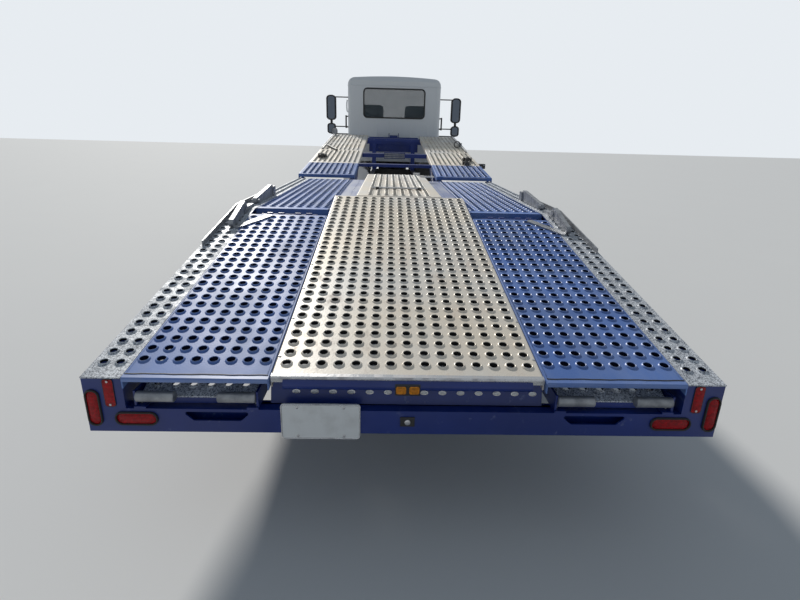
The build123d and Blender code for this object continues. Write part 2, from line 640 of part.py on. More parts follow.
def lug_under_deck(x0, x1, d, z, reach):
    """A lug that hangs from the raised track to just below a pin at (d, z)."""
    return side([(d - reach, z - reach), (d + reach, z - reach), (d + reach, front_deck(d + reach) - 1),
                 (d - reach, front_deck(d - reach) - 1)], x0, x1)


def front_cross_bars():
    """Bars that join the two raised tracks, the middle one with a slatted box."""
    bars = []
    for d, depth in ((FRONT_DECK_START + 940, 40), (FRONT_DECK_START + 1940, 60), (FRONT_DECK_END - 380, 50)):
        bars.append(sloped(-FRONT_TRACK_IN, FRONT_TRACK_IN, d - 30, front_deck(d - 30) - 12, d + 30,
                           front_deck(d + 30) - 12, depth))
    d = FRONT_DECK_START + 1940
    top = front_deck(d)
    box = block(-170, 170, d - 40, d + 40, top - 90, top + 10)
    slats = [block(-160, 160, d - 48, d - 39, top - 80 + step, top - 62 + step) for step in (0, 28, 56)]
    bars[1] = fuse([bars[1], box] + slats)
    return bars


def front_hinge_beam():
    """Beam behind the step of the deck, with the ears and pins that the raised tracks turn on."""
    pieces = [block(-HALF + 20, HALF - 20, MID_DECK_END + 5, FRONT_HINGE - 50, RAIL_TOP, FRONT_HINGE_Z - 25)]
    for x in FRONT_HINGE_X:
        for ear_x in (x - 25, x + 11):
            pieces += pair(block(ear_x, ear_x + 14, FRONT_HINGE - 90, FRONT_HINGE + 25, FRONT_HINGE_Z - 25,
                                 FRONT_HINGE_Z + 25))
        pieces += pair(cross_rod(x - 25, x + 25, FRONT_HINGE, FRONT_HINGE_Z, FRONT_PIN))
    return fuse(pieces)


def front_supports():
    """Posts and beam under the front end of the raised tracks, and the headboard behind the cab."""
    d0, d1 = FRONT_DECK_END - 220, FRONT_DECK_END - 140
    drop = FRONT_FLANGE + RUNNING
    depth = 80
    beam = sloped(-HALF + 15, HALF - 15, d0, front_deck(d0) - drop, d1, front_deck(d1) - drop, depth)
    post = side([(d0, RAIL_TOP), (d1, RAIL_TOP), (d1, front_deck(d1) - drop - depth),
                 (d0, front_deck(d0) - drop - depth)], FRAME_IN, FRAME_HALF)
    panel_back = FRONT_DECK_END + 10
    panel_top = FRONT_DECK_LOW + FRONT_DECK_RISE - 30
    panel = block(-500, 500, panel_back, panel_back + FACE_PLATE, panel_top - 290, panel_top)
    headboard = [panel, block(-500, 500, panel_back, panel_back + 40, panel_top - 12, panel_top)]
    headboard.append(block(-80, 80, panel_back, panel_back + 30, panel_top - 1, panel_top + 38))
    headboard += pair(block(FRAME_HALF - 60, FRAME_HALF, panel_back + FACE_PLATE, panel_back + 58, RAIL_TOP,
                            panel_top))
    headboard += pair(block(88, 104, panel_back, panel_back + 20, panel_top - 1, panel_top + 62))
    return [fuse([beam] + pair(post)), fuse(headboard)]


# Lift cylinders of the raised deck
def along_cylinder(shape):
    """Place a shape made along +Z from the base pin onto the cylinder's line."""
    lean = degrees(atan2(LIFT_EYE - LIFT_BASE, LIFT_EYE_Z - LIFT_BASE_Z))
    return Pos(LIFT_X, at(LIFT_BASE), LIFT_BASE_Z) * Rot(-lean, 0, 0) * shape


def lift_stroke():
    return hypot(LIFT_EYE - LIFT_BASE, LIFT_EYE_Z - LIFT_BASE_Z)


def lift_barrel():
    """Cylinder barrel with its gland ring and base eye."""
    length = 0.58 * lift_stroke()
    tube = Pos(0, 0, 50 + length / 2) * Cylinder(BARREL_RADIUS, length)
    gland = Pos(0, 0, 50 + length - 20) * Cylinder(BARREL_RADIUS + 6, 40)
    hollow = Pos(0, 0, 130 + length / 2) * Cylinder(ROD_RADIUS + RUNNING, length)
    eye = Rot(0, 90, 0) * Cylinder(34, EYE_WIDTH) + Pos(0, 0, 30) * Box(EYE_WIDTH, 50, 70)
    return along_cylinder(tube + gland + eye - hollow - Rot(0, 90, 0) * Cylinder(FRONT_PIN + RUNNING, 60))


def lift_rod():
    """Piston rod with its eye, bored with room to spare because its pin is on another body."""
    length = lift_stroke()
    bore = LIFT_PIN + LIFT_PLAY
    rod = Pos(0, 0, (300 + length - bore) / 2) * Cylinder(ROD_RADIUS, length - bore - 300)
    eye = Rot(0, 90, 0) * (Cylinder(bore + 14, EYE_WIDTH) - Cylinder(bore, 60))
    rod = rod - Pos(0, 0, length) * Rot(0, 90, 0) * Cylinder(bore + 1, 60)
    return along_cylinder(rod + Pos(0, 0, length) * eye)


def lift_bracket():
    """Clevis on the rail that carries the base pin of a cylinder."""
    outer = EYE_WIDTH / 2 + 6 + CHEEK
    foot = block(FRAME_HALF, LIFT_X + outer, LIFT_BASE - 60, LIFT_BASE + 60, LIFT_BASE_Z - 94,
                 LIFT_BASE_Z - 60)
    ears = [block(x, x + CHEEK, LIFT_BASE - 28, LIFT_BASE + 28, LIFT_BASE_Z - 60, LIFT_BASE_Z + 22)
            for x in (LIFT_X - outer, LIFT_X + outer - CHEEK)]
    pin = cross_rod(LIFT_X - outer, LIFT_X + outer, LIFT_BASE, LIFT_BASE_Z, FRONT_PIN)
    return [foot, pin] + ears


# Cab
CAB_HALF = CAB_WIDTH / 2
CAB_WALL = 40.0
CAB_CORNER = 80.0
ROOF_SHOULDER = 150.0
ROOF_CROWN = 45.0
REAR_WINDOW_WIDTH = 1240.0
REAR_WINDOW_HEIGHT = 550.0
REAR_WINDOW_CORNER = 70.0
REAR_WINDOW_Z = CAB_ROOF - 515
SCREEN_RUN = 460.0
SCREEN_TOP = (CAB_FRONT - 10 - SCREEN_RUN, CAB_ROOF - 60)
SCREEN_FOOT = (CAB_FRONT - 10, CAB_FLOOR + 690)
SCREEN_WIDTH = 1640.0
GLASS = 6.0
DOOR_SILL = CAB_FLOOR + 80
DOOR_TOP = CAB_ROOF - 200
DOOR_REAR = CAB_REAR + 370
DOOR_FRONT = CAB_FRONT - 200
DOOR = ((DOOR_REAR, DOOR_SILL), (DOOR_FRONT, DOOR_SILL), (DOOR_FRONT, DOOR_SILL + 670),
        (DOOR_FRONT - 290, DOOR_TOP),
        (DOOR_REAR, DOOR_TOP))
DOOR_WINDOW = ((DOOR_REAR + 100, DOOR_SILL + 720), (DOOR_FRONT - 120, DOOR_SILL + 720),
               (DOOR_FRONT - 340, DOOR_TOP - 80), (DOOR_REAR + 100, DOOR_TOP - 80))
DOOR_GAP = 6.0
DOOR_HINGE = DOOR_FRONT + DOOR_GAP
DOOR_HINGE_X = CAB_HALF + 12
DOOR_HINGE_HEIGHTS = (DOOR_SILL + 170, DOOR_SILL + 570)
HINGE_PIN = 7.0
MIRROR_X = 1400.0
MIRROR_D = DOOR_FRONT - 285
MIRROR_LOW = DOOR_SILL + 440
MIRROR_HIGH = DOOR_TOP - 115


def inset(face, gap):
    """A face moved inward by gap."""
    return offset(face, amount=-gap, kind=Kind.INTERSECTION)


def screen_height():
    return hypot(SCREEN_FOOT[0] - SCREEN_TOP[0], SCREEN_FOOT[1] - SCREEN_TOP[1])


def screen(depth, thick):
    """The windscreen's rounded shape as a slab, its middle at a depth behind the cab's front face."""
    d = (SCREEN_TOP[0] + SCREEN_FOOT[0]) / 2
    z = (SCREEN_TOP[1] + SCREEN_FOOT[1]) / 2
    fall = Vector(0, SCREEN_FOOT[0] - SCREEN_TOP[0], SCREEN_FOOT[1] - SCREEN_TOP[1])
    plane = Plane(origin=(0, at(d), z), x_dir=(1, 0, 0), z_dir=Vector(0, -fall.Z, fall.Y).normalized())
    pane = RectangleRounded(SCREEN_WIDTH, screen_height() - 150, 60)
    return plane * Pos(0, 0, -depth) * extrude(pane, amount=thick / 2, both=True)


def rear_window(thick):
    """The rear window's rounded shape as a slab in the middle of the rear wall."""
    pane = Pos(0, REAR_WINDOW_Z) * RectangleRounded(REAR_WINDOW_WIDTH, REAR_WINDOW_HEIGHT, REAR_WINDOW_CORNER)
    middle = CAB_REAR + CAB_WALL / 2
    return across(pane, middle - thick / 2, middle + thick / 2)


def cab_form(gap):
    """The cab's form where its side, rear and plan outlines meet, each moved inward by gap."""
    above = CAB_ROOF + 10
    profile = outline([(CAB_REAR, CAB_FLOOR), (CAB_REAR, CAB_ROOF - 90), (CAB_REAR + 60, above),
                       (SCREEN_TOP[0] - 110, above), SCREEN_TOP, SCREEN_FOOT, (CAB_FRONT, SCREEN_FOOT[1]),
                       (CAB_FRONT, CAB_FLOOR)])
    half, top, eaves = CAB_HALF - gap, CAB_ROOF - gap, CAB_ROOF - gap - ROOF_CROWN
    foot = CAB_FLOOR - 10
    rear = make_face([Line((-half, eaves), (-half, foot)), Line((-half, foot), (half, foot)),
                      Line((half, foot), (half, eaves)),
                      ThreePointArc((half, eaves), (0, top), (-half, eaves))])
    rear = fillet(rear.vertices().group_by(Axis.Y)[-1], ROOF_SHOULDER - gap)
    plan = outline([(-half, at(CAB_REAR + gap)), (half, at(CAB_REAR + gap)), (half, at(CAB_FRONT + 10)),
                    (-half, at(CAB_FRONT + 10))])
    plan = fillet(plan.vertices().group_by(Axis.Y)[0], CAB_CORNER - gap)
    side_view = side_face(inset(profile, gap) if gap else profile, -CAB_HALF - 10, CAB_HALF + 10)
    rear_view = across(rear, CAB_REAR - 10, CAB_FRONT + 10)
    return side_view & rear_view & (Pos(0, 0, foot) * extrude(plan, amount=above - foot))


def cab_shell():
    """Cab of one wall thickness, with its windows and doorways cut and its half of the door hinges."""
    doorway = side_face(outline(DOOR, 30), CAB_HALF - 2 * CAB_WALL, CAB_HALF + 10)
    shell = (cab_form(0) - cab_form(CAB_WALL) - rear_window(4 * CAB_WALL) - screen(0, 4 * CAB_WALL)
             - pair(doorway))
    return [fuse([shell] + [piece for half in cab_hinge_halves() for piece in pair(half)])]


def cab_hinge_halves():
    """Pins, and the knuckles above and below each door lug with the straps that hold them."""
    halves = []
    for z in DOOR_HINGE_HEIGHTS:
        halves.append(Pos(DOOR_HINGE_X, at(DOOR_HINGE), z) * Cylinder(HINGE_PIN, 90))
        for rise in (-33, 33):
            halves.append(Pos(DOOR_HINGE_X, at(DOOR_HINGE), z + rise) * Cylinder(12, 24))
            halves.append(block(CAB_HALF - 2, DOOR_HINGE_X + 6, DOOR_HINGE, DOOR_HINGE + 40, z + rise - 12,
                                z + rise + 12))
    return halves


def cab_glass():
    """Windscreen and rear window."""
    return [screen(CAB_WALL / 2, GLASS), rear_window(GLASS)]


def door():
    """Door panel with its window cut, and hinge lugs on pads that stand proud of the skin."""
    skin = side_face(inset(outline(DOOR, 30), DOOR_GAP), CAB_HALF - CAB_WALL, CAB_HALF)
    window = side_face(outline(DOOR_WINDOW, 45), CAB_HALF - 2 * CAB_WALL, CAB_HALF + 10)
    panel = skin - window
    for z in DOOR_HINGE_HEIGHTS:
        pad = block(CAB_HALF - 1, DOOR_HINGE_X - 6, DOOR_FRONT - 50, DOOR_FRONT - 12, z - 20, z + 20)
        strap = block(DOOR_HINGE_X - 7, DOOR_HINGE_X + 6, DOOR_FRONT - 50, DOOR_HINGE, z - 20, z + 20)
        lug = Pos(DOOR_HINGE_X, at(DOOR_HINGE), z) * Cylinder(11, 40)
        panel = panel + pad + strap + lug
        panel = panel - Pos(DOOR_HINGE_X, at(DOOR_HINGE), z) * Cylinder(HINGE_PIN + RUNNING, 60)
    grip = block(CAB_HALF - 1, CAB_HALF + 22, DOOR_REAR + 60, DOOR_REAR + 220, DOOR_SILL + 610,
                 DOOR_SILL + 640)
    return panel + grip


def door_glass():
    middle = CAB_HALF - CAB_WALL / 2
    return side_face(outline(DOOR_WINDOW, 45), middle - GLASS / 2, middle + GLASS / 2)


def mirror_set():
    """Tall mirror and the small round-cornered one below it, on a post with three arms."""
    reach = MIRROR_HIGH - MIRROR_LOW
    tall_low, small_low, small_high = MIRROR_HIGH - 0.63 * reach, MIRROR_LOW + 15, MIRROR_LOW + 0.285 * reach
    heads = []
    for half, low, high, corner in ((110, tall_low, MIRROR_HIGH, 75), (95, small_low, small_high, 60)):
        face = Pos(MIRROR_X, (low + high) / 2) * RectangleRounded(2 * half, high - low, corner)
        heads.append(across(face, MIRROR_D - 35, MIRROR_D + 35))
    post_high = MIRROR_HIGH - 23
    post = Pos(MIRROR_X, at(MIRROR_D), (MIRROR_LOW + post_high) / 2) * Cylinder(12, post_high - MIRROR_LOW)
    arms = [cross_rod(CAB_HALF, MIRROR_X, MIRROR_D, z, 12)
            for z in (MIRROR_LOW + 12, MIRROR_LOW + 0.206 * reach, MIRROR_HIGH - 35)]
    return fuse(heads + [post] + arms)


def grab_handles():
    """Upright handles on the sides of the cab, behind the doors."""
    x = CAB_HALF + 45
    d = CAB_REAR + CAB_CORNER + 20
    low, high = CAB_FLOOR + 650, CAB_FLOOR + 900
    bar = Pos(x, at(d), (low + high) / 2) * Cylinder(16, high - low)
    stems = [cross_rod(CAB_HALF, x, d, z, 12) for z in (low + 20, high - 20)]
    return pair(fuse([bar] + stems))


def roof_lamps():
    """Five small marker lamps along the front of the roof, seated on its crown."""
    d = SCREEN_TOP[0] - 150
    roof = cab_form(0)
    lamps = []
    for x in (-620, -150, 0, 150, 620):
        rise = ROOF_CROWN * (x / CAB_HALF) ** 2
        lamp = block(x - 45, x + 45, d - 22, d + 22, CAB_ROOF - rise - 20, CAB_ROOF - rise + 28)
        lamps.append(fillet(lamp.edges().group_by(Axis.Z)[-1], 8) - roof)
    return lamps


def seats():
    """Two seats, each base, cushion and leaning back as one piece."""
    result = []
    back_foot = CAB_REAR + 110
    for x in (-450, 450):
        base = block(x - 200, x + 200, back_foot + 180, back_foot + 620, CAB_FLOOR + CAB_WALL,
                     CAB_FLOOR + 350)
        cushion = block(x - 250, x + 250, back_foot + 120, back_foot + 670, CAB_FLOOR + 350, CAB_FLOOR + 490)
        back = side([(back_foot, CAB_FLOOR + 490), (back_foot + 140, CAB_FLOOR + 490),
                     (back_foot + 60, CAB_FLOOR + 1150), (back_foot - 50, CAB_FLOOR + 1150)], x - 240,
                     x + 240, 25)
        foot = block(x - 240, x + 240, back_foot + 30, back_foot + 200, CAB_FLOOR + 400, CAB_FLOOR + 520)
        result.append(fuse([base, cushion, foot, back]))
    return result


def dashboard():
    """Dash across the cab with the steering wheel on its column."""
    front = CAB_FRONT - CAB_WALL
    top = SCREEN_FOOT[1] - 45
    dash = side([(front - 280, CAB_FLOOR + 220), (front, CAB_FLOOR + 220), (front, top),
                 (front - 200, top - 25)],
                -CAB_HALF + CAB_WALL, CAB_HALF - CAB_WALL)
    hub = Pos(-450, at(front - 380), top - 45) * Rot(55, 0, 0)
    ring = hub * (Cylinder(212, 26) - Cylinder(188, 30))
    spokes = hub * Box(390, 34, 14)
    column = hub * Pos(0, 0, -110) * Cylinder(35, 240)
    return [fuse([dash, ring, spokes, column])]


# Hood with its fenders, grille and lamps
HOOD_HINGE_BACK = 160.0
HOOD_WALL = 14.0
HOOD_CROWN = 26.0
HOOD_SECTIONS = (
    # behind the front end, half width, lower edge, top, corner radius
    (1145, 760, 1000, 1785, 150),
    (900, 735, 960, 1755, 150),
    (500, 665, 880, 1655, 145),
    (200, 580, 830, 1500, 135),
    (80, 530, 830, 1390, 120),
)
FENDER = (
    # behind the front end, height
    (1600, 740), (1560, 960), (1340, 1130), (1110, 1215), (460, 1215), (200, 1120), (90, 900), (90, 785),
)
FENDER_IN = 540.0
FENDER_OUT = 1165.0
FENDER_WALL = 12.0
ARCH_RADIUS = 560.0
ARCH_HEIGHT = 500.0
GRILLE_HALF = 430.0
GRILLE_LOW = 900.0
GRILLE_HIGH = 1300.0
GRILLE_BARS = 8
HOOD_HINGE = LENGTH - HOOD_HINGE_BACK
HOOD_HINGE_Z = RAIL_TOP - 140
NOSE = LENGTH - HOOD_SECTIONS[-1][0]


def hood_loft(wall):
    """Hood nose, or with a wall the space inside it, open at the back and below."""
    faces = []
    for index, (back, half, low, top, corner) in enumerate(HOOD_SECTIONS):
        d = LENGTH - back
        if wall and index == 0:
            d -= 5
        if wall and index == len(HOOD_SECTIONS) - 1:
            d -= wall
        right, roof = half - wall, top - wall
        floor = low - 20 if wall else low
        edges = [Line((-right, roof - HOOD_CROWN), (-right, floor)), Line((-right, floor), (right, floor)),
                 Line((right, floor), (right, roof - HOOD_CROWN)),
                 ThreePointArc((right, roof - HOOD_CROWN), (0, roof), (-right, roof - HOOD_CROWN))]
        face = make_face(edges)
        face = fillet(face.vertices().group_by(Axis.Y)[-1], corner - wall)
        faces.append(Plane(origin=(0, at(d), 0), x_dir=(1, 0, 0), z_dir=(0, -1, 0)) * face)
    return loft(faces, ruled=True)


def fender_outline():
    return outline([(LENGTH - back, z) for back, z in FENDER], 40)


def hood():
    """Tilting hood: nose and fenders of one moulding, open to the engine and the wheels."""
    fender = side_face(fender_outline(), FENDER_IN, FENDER_OUT)
    fender = fillet(fender.faces().sort_by(Axis.X)[-1].edges(), 30)
    space = side_face(inset(fender_outline(), FENDER_WALL), FENDER_IN + FENDER_WALL, FENDER_OUT - FENDER_WALL)
    arch = cross_rod(FENDER_IN - 50, FENDER_OUT + 50, FRONT_AXLE, ARCH_HEIGHT, ARCH_RADIUS)
    nose = hood_loft(0)
    shell = (nose + pair(fender)) - hood_loft(HOOD_WALL) - pair(space - nose) - pair(arch)
    shell = shell - across(outline([(-GRILLE_HALF, GRILLE_LOW), (GRILLE_HALF, GRILLE_LOW),
                                    (GRILLE_HALF, GRILLE_HIGH),
                                    (-GRILLE_HALF, GRILLE_HIGH)]), NOSE - 30, NOSE + 20)
    cab_room = DOOR_HINGE_X + 23
    shell = shell - block(-cab_room, cab_room, CAB_FRONT - 500, LENGTH - HOOD_SECTIONS[0][0], 700,
                          GRILLE_HIGH)
    inner = FRAME_HALF + 38
    for x in (-inner - 20, inner):
        shell = shell + block(x, x + 20, HOOD_HINGE - 22, NOSE - 10, HOOD_HINGE_Z - 20, HOOD_HINGE_Z + 60)
        shell = shell - cross_rod(x - 10, x + 30, HOOD_HINGE, HOOD_HINGE_Z, 12 + RUNNING)
    return [shell]


def hood_hinge():
    """Ear and pin at the front of a rail that the hood tilts on."""
    return [
        block(FRAME_HALF + 20, FRAME_HALF + 34, HOOD_HINGE - 60, HOOD_HINGE + 30, RAIL_BOTTOM,
              HOOD_HINGE_Z + 20),
        block(FRAME_HALF - 1, FRAME_HALF + 34, HOOD_HINGE - 100, HOOD_HINGE - 40, RAIL_BOTTOM,
              RAIL_BOTTOM + 54),
        cross_rod(FRAME_HALF + 20, FRAME_HALF + 62, HOOD_HINGE, HOOD_HINGE_Z, 12),
    ]


def grille():
    """Level bars between three uprights, set in the hood's nose."""
    front = NOSE
    back = NOSE - HOOD_WALL
    pitch = (GRILLE_HIGH - GRILLE_LOW) / GRILLE_BARS
    bars = [block(-GRILLE_HALF, GRILLE_HALF, back, front, GRILLE_LOW + pitch * (index + 0.3),
                  GRILLE_LOW + pitch * (index + 0.75)) for index in range(GRILLE_BARS)]
    uprights = [block(x, x + 24, back - 4, front, GRILLE_LOW, GRILLE_HIGH)
                for x in (-GRILLE_HALF, -12, GRILLE_HALF - 24)]
    return [fuse(bars + uprights)]


def headlamps():
    """Rounded lamps on the slanting front of each fender."""
    high, low = FENDER[-3], FENDER[-2]
    low_d, high_d = LENGTH - low[0], LENGTH - high[0]
    run, rise = low_d - high_d, high[1] - low[1]
    slant = hypot(run, rise)
    plane = Plane(origin=(0, at((low_d + high_d) / 2), (low[1] + high[1]) / 2), x_dir=(1, 0, 0),
                  z_dir=Vector(0, rise / slant, run / slant))
    lamp = extrude(plane * Pos((FENDER_IN + FENDER_OUT) / 2 - 30, 0) * RectangleRounded(300, 140, 35),
                   amount=14)
    return pair(lamp)


def front_bumper():
    """Plate bumper that sweeps back at both ends, on two arms from the rails."""
    wall = 30
    low, high = 430, 725
    outer = [(1180, at(LENGTH - 240)), (1120, at(LENGTH - 100)), (760, at(LENGTH))]
    inner = [(1180 - wall, at(LENGTH - 240)), (1120 - wall, at(LENGTH - 100 - wall)),
             (760 - wall, at(LENGTH - wall))]
    loop = outer + [(-x, y) for x, y in reversed(outer)] + [(-x, y) for x, y in inner] + list(reversed(inner))
    bar = Pos(0, 0, low) * extrude(outline(loop), amount=high - low)
    arm = block(FRAME_IN, FRAME_HALF, RAIL_FRONT, LENGTH - wall + 1, RAIL_BOTTOM - 100, high)
    return [fuse([bar] + pair(arm))]


# Engine and chassis fittings
ENGINE_HALF = 300.0
ENGINE_LENGTH = 585.0
ENGINE_RISE = 440.0
BELL_LENGTH = 540.0
GEARBOX_HALF = 170.0
GEARBOX_LENGTH = 360.0
TANK_X = 770.0
TANK_RADIUS = 290.0
TANK_LENGTH = 950.0
LOCKER_OUT = 1060.0
LOCKER_LENGTH = 940.0
LOCKER_DROP = 276.0
STEP_DEPTH = 90.0


def engine():
    """Engine and gearbox as one plain block, with the radiator ahead of it."""
    low, back, middle = RAIL_BOTTOM + 14, CAB_FRONT + 15, CAB_FRONT - BELL_LENGTH
    power = (block(-ENGINE_HALF, ENGINE_HALF, back, back + ENGINE_LENGTH, low, RAIL_TOP + ENGINE_RISE)
             + block(-ENGINE_HALF, ENGINE_HALF, middle, back, low, RAIL_TOP + 100)
             + block(-GEARBOX_HALF, GEARBOX_HALF, middle - GEARBOX_LENGTH, middle, low - 120, low + 180))
    fan_room = back + ENGINE_LENGTH + 80
    radiator = block(-FRAME_IN, FRAME_IN, fan_room, fan_room + 80, RAIL_BOTTOM, RAIL_TOP + 370)
    return [power, radiator]


def drive_shaft():
    """Shaft from the gearbox to the axle's nose, with a joint yoke at each end."""
    start = Vector(0, at(CAB_FRONT - BELL_LENGTH - GEARBOX_LENGTH - 2), RAIL_BOTTOM - 56)
    end = Vector(0, at(REAR_AXLE) + 332, TYRE_RADIUS)
    line = end - start
    length = line.length
    tube = Pos(0, 0, length / 2) * Cylinder(45, length)
    yokes = [Pos(0, 0, z) * Cylinder(62, 70) for z in (35, length / 2, length - 35)]
    return [Plane(origin=start, z_dir=line.normalized()) * fuse([tube] + yokes)]


def fuel_tank():
    """Round tank under the left door, with two straps and a step plate on top."""
    x, z, radius = -TANK_X, RAIL_BOTTOM - 6, TANK_RADIUS
    d0, d1 = CAB_REAR + 55, CAB_REAR + 55 + TANK_LENGTH
    tank = long_rod(x, d0, d1, z, radius)
    straps = [long_rod(x, d, d + 60, z, radius + 6) for d in (d0 + 150, d1 - 210)]
    brackets = [block(x, -FRAME_HALF, d, d + 50, z + 14, z + 54) for d in (d0 + 155, d1 - 205)]
    cap = Pos(x - 0.655 * radius, at(d1 - 90), z + 0.8 * radius) * Rot(0, -35, 0) * Cylinder(45, 60)
    return [fuse([tank, cap] + straps + brackets)]


def tool_box():
    """Locker under the right door, with two step treads on its outer face."""
    x0, x1, d0 = FRAME_HALF + 48, LOCKER_OUT, CAB_REAR + 60
    box = block(x0, x1, d0, d0 + LOCKER_LENGTH, RAIL_BOTTOM - LOCKER_DROP, RAIL_TOP + 40)
    box = fillet(box.edges().filter_by(Axis.Y), 30)
    brackets = [block(FRAME_HALF, x0 + 20, d - 25, d + 25, RAIL_BOTTOM + 14, RAIL_BOTTOM + 54)
                for d in (d0 + 0.18 * LOCKER_LENGTH, d0 + 0.82 * LOCKER_LENGTH)]
    treads = [block(x1 - 1, x1 + STEP_DEPTH, DOOR_REAR + 30, DOOR_REAR + 530, z, z + 25)
              for z in (RAIL_BOTTOM - 240, RAIL_BOTTOM + 60)]
    return [fuse([box] + brackets + treads)]


def main():
    os.makedirs("parts", exist_ok=True)
    tyre, disc = front_wheel()
    tyres, discs = rear_wheels()
    left_and_right("front_tyre", tyre)
    left_and_right("front_rim", disc)
    left_and_right("rear_rims", discs)
    left_and_right("knuckle", knuckle())
    left_and_right("ramp", ramps())
    left_and_right("lift_barrel", lift_barrel())
    left_and_right("lift_rod", lift_rod())
    left_and_right("door", door())
    left_and_right("door_glass", door_glass())
    left_and_right("mirror", mirror_set())
    save("rear_tyres_right", tyres)
    save("rear_tyres_left", [mirror(tyre, about=Plane.YZ) for tyre in tyres])
    for piece in (frame_rails, frame_members, air_tanks, front_axle, rear_axle, leaf_springs, side_rails,
                  edge_strips,
                  deck_frame, tail_frame, tail_lamps, number_plate, tail_tracks, mid_tracks, centre_panel,
                  centre_flap, infill_plates, side_arms, mudflaps, front_tracks, front_cross_bars,
                  front_supports,
                  cab_shell, cab_glass, grab_handles, roof_lamps, seats, dashboard, hood, grille, headlamps,
                  front_bumper, engine, drive_shaft, fuel_tank, tool_box):
        save(piece.__name__, piece())


main()
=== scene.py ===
from math import atan2, cos, pi, radians, sin, sqrt

import bpy
import numpy as np
from mathutils import Matrix, Vector


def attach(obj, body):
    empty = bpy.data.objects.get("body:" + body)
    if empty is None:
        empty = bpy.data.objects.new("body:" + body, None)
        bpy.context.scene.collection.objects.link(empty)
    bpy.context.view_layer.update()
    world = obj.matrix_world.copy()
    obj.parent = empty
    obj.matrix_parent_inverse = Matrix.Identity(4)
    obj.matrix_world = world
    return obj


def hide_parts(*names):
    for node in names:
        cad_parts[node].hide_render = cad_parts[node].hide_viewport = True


bl_info = {
    "name": "Car Transporter Truck",
    "version": (1, 0, 0),
    "blender": (4, 5, 0),
    "location": "View3D > Sidebar > Transporter",
    "description": "Dresses a car transporter truck: perforated deck, tyres, lamps, cab trim and finishes",
    "category": "Object",
}

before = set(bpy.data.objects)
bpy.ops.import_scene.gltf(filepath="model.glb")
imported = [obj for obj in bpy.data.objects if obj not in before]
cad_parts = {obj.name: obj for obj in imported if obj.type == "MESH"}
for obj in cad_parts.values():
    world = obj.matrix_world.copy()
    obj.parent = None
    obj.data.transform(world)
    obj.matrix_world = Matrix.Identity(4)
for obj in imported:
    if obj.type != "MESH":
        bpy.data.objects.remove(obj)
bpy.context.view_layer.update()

SIDES = ((1, "right"), (-1, "left"))

# Places and sizes taken from the solids, in metres; distances run from the rear face forward
LENGTH = 11.96
HALF = 1.219
PLATE = 0.005
FOLD = 0.012
FLANGE = 0.045
INSET = 0.006
TAIL = 2.06
TAIL_EDGE = 0.760
DECK = 1.100
TRACK_OUT = 1.070
TRACK_IN = 0.525
CENTRE = 0.522
TAIL_TRACK_END = 1.92
MID_END = 4.66
PANEL_END = 2.43
FLAP_START = 2.436
FLAP_END = 4.74
FLAP_HEIGHT = 1.165
FLAP_HALF = 0.35
FRONT_START = 4.76
FRONT_END = 9.08
FRONT_LOW = 1.15
FRONT_RISE = 0.47
FRONT_IN = 0.519
SLOPE = (DECK - TAIL_EDGE) / TAIL
FRONT_SLOPE = FRONT_RISE / (FRONT_END - FRONT_START)
REAR_AXLE = 3.90
FRONT_AXLE = 10.98
TYRE_RADIUS = 0.464
FRAME_HALF = 0.432
CAB_REAR = 9.27
CAB_FRONT = 10.80
CAB_HALF = 0.95
CAB_ROOF = 2.76
CAB_FLOOR = 1.10
CAB_CORNER = 0.08
MIRROR_HIGH = 2.445

# Rings of a hole's raised rim, from its foot to the lower edge of the hole: out from the hole, rise and
# scuff; a scuff below nothing is painted shade down the hole
RIM = ((0.0080, 0.0, 0.05), (0.0052, 0.0047, 0.5), (0.0022, 0.0062, 1.0), (0.0002, 0.0048, -0.1),
       (0.0, -0.012, -1.0))


def at(distance):
    """Y of a place measured forward from the rear face."""
    return distance - LENGTH / 2


def deck(distance):
    """Height of the tail, then of the level deck."""
    return np.where(np.asarray(distance) < TAIL, tail_line(distance), DECK)


def tail_line(distance):
    """Height of the tail's slope, carried on past the level deck."""
    return TAIL_EDGE + SLOPE * np.asarray(distance)


def level(height):
    """A height that stays the same along the truck."""
    return lambda distance: np.full_like(np.asarray(distance, float), height)


def front_deck(distance):
    """Height of the raised front tracks."""
    return FRONT_LOW + FRONT_SLOPE * (np.asarray(distance) - FRONT_START)


def on_track(distance, rise=0.0):
    """One height that lies rise above the raised tracks."""
    return float(front_deck(distance)) + rise


# Surfaces
def circle(sides, start=0.0):
    """Points (cos a, sin a) at equal steps round a unit circle."""
    a = start + np.arange(sides) * 2 * pi / sides
    return np.stack([np.cos(a), np.sin(a)], -1)


def centred(count, pitch, middle):
    """Places of count things on a pitch about a middle."""
    return middle + (np.arange(count) - (count - 1) / 2) * pitch


def quads(rows, columns, row_ring=False, column_ring=True):
    """Quads between the points of a rows by columns grid, which may close into a ring either way."""
    r = np.arange(rows if row_ring else rows - 1)[:, None]
    c = np.arange(columns if column_ring else columns - 1)[None]
    ahead, beside = (r + 1) % rows * columns, (c + 1) % columns
    return np.stack([r * columns + c, r * columns + beside, ahead + beside, ahead + c], -1).reshape(-1, 4)


def capped(rows, columns):
    """Quads round a run of rings, and one face over each of its ends."""
    loop = np.arange(columns)
    return [quads(rows, columns), loop[::-1][None], loop[None] + columns * (rows - 1)]


def flipped(faces):
    """The same faces wound the other way round."""
    return [np.asarray(face, int)[..., ::-1] for face in faces]


def turn_out(points, faces):
    """Points and faces, with the faces flipped where the surface's signed volume is negative."""
    volume = 0.0
    for face in faces:
        corners = points[np.asarray(face, int).reshape(-1, face.shape[-1])]
        for k in range(1, corners.shape[1] - 1):
            volume += np.einsum("ij,ij->i", corners[:, 0], np.cross(corners[:, k], corners[:, k + 1])).sum()
    return points, (faces if volume > 0 else flipped(faces))


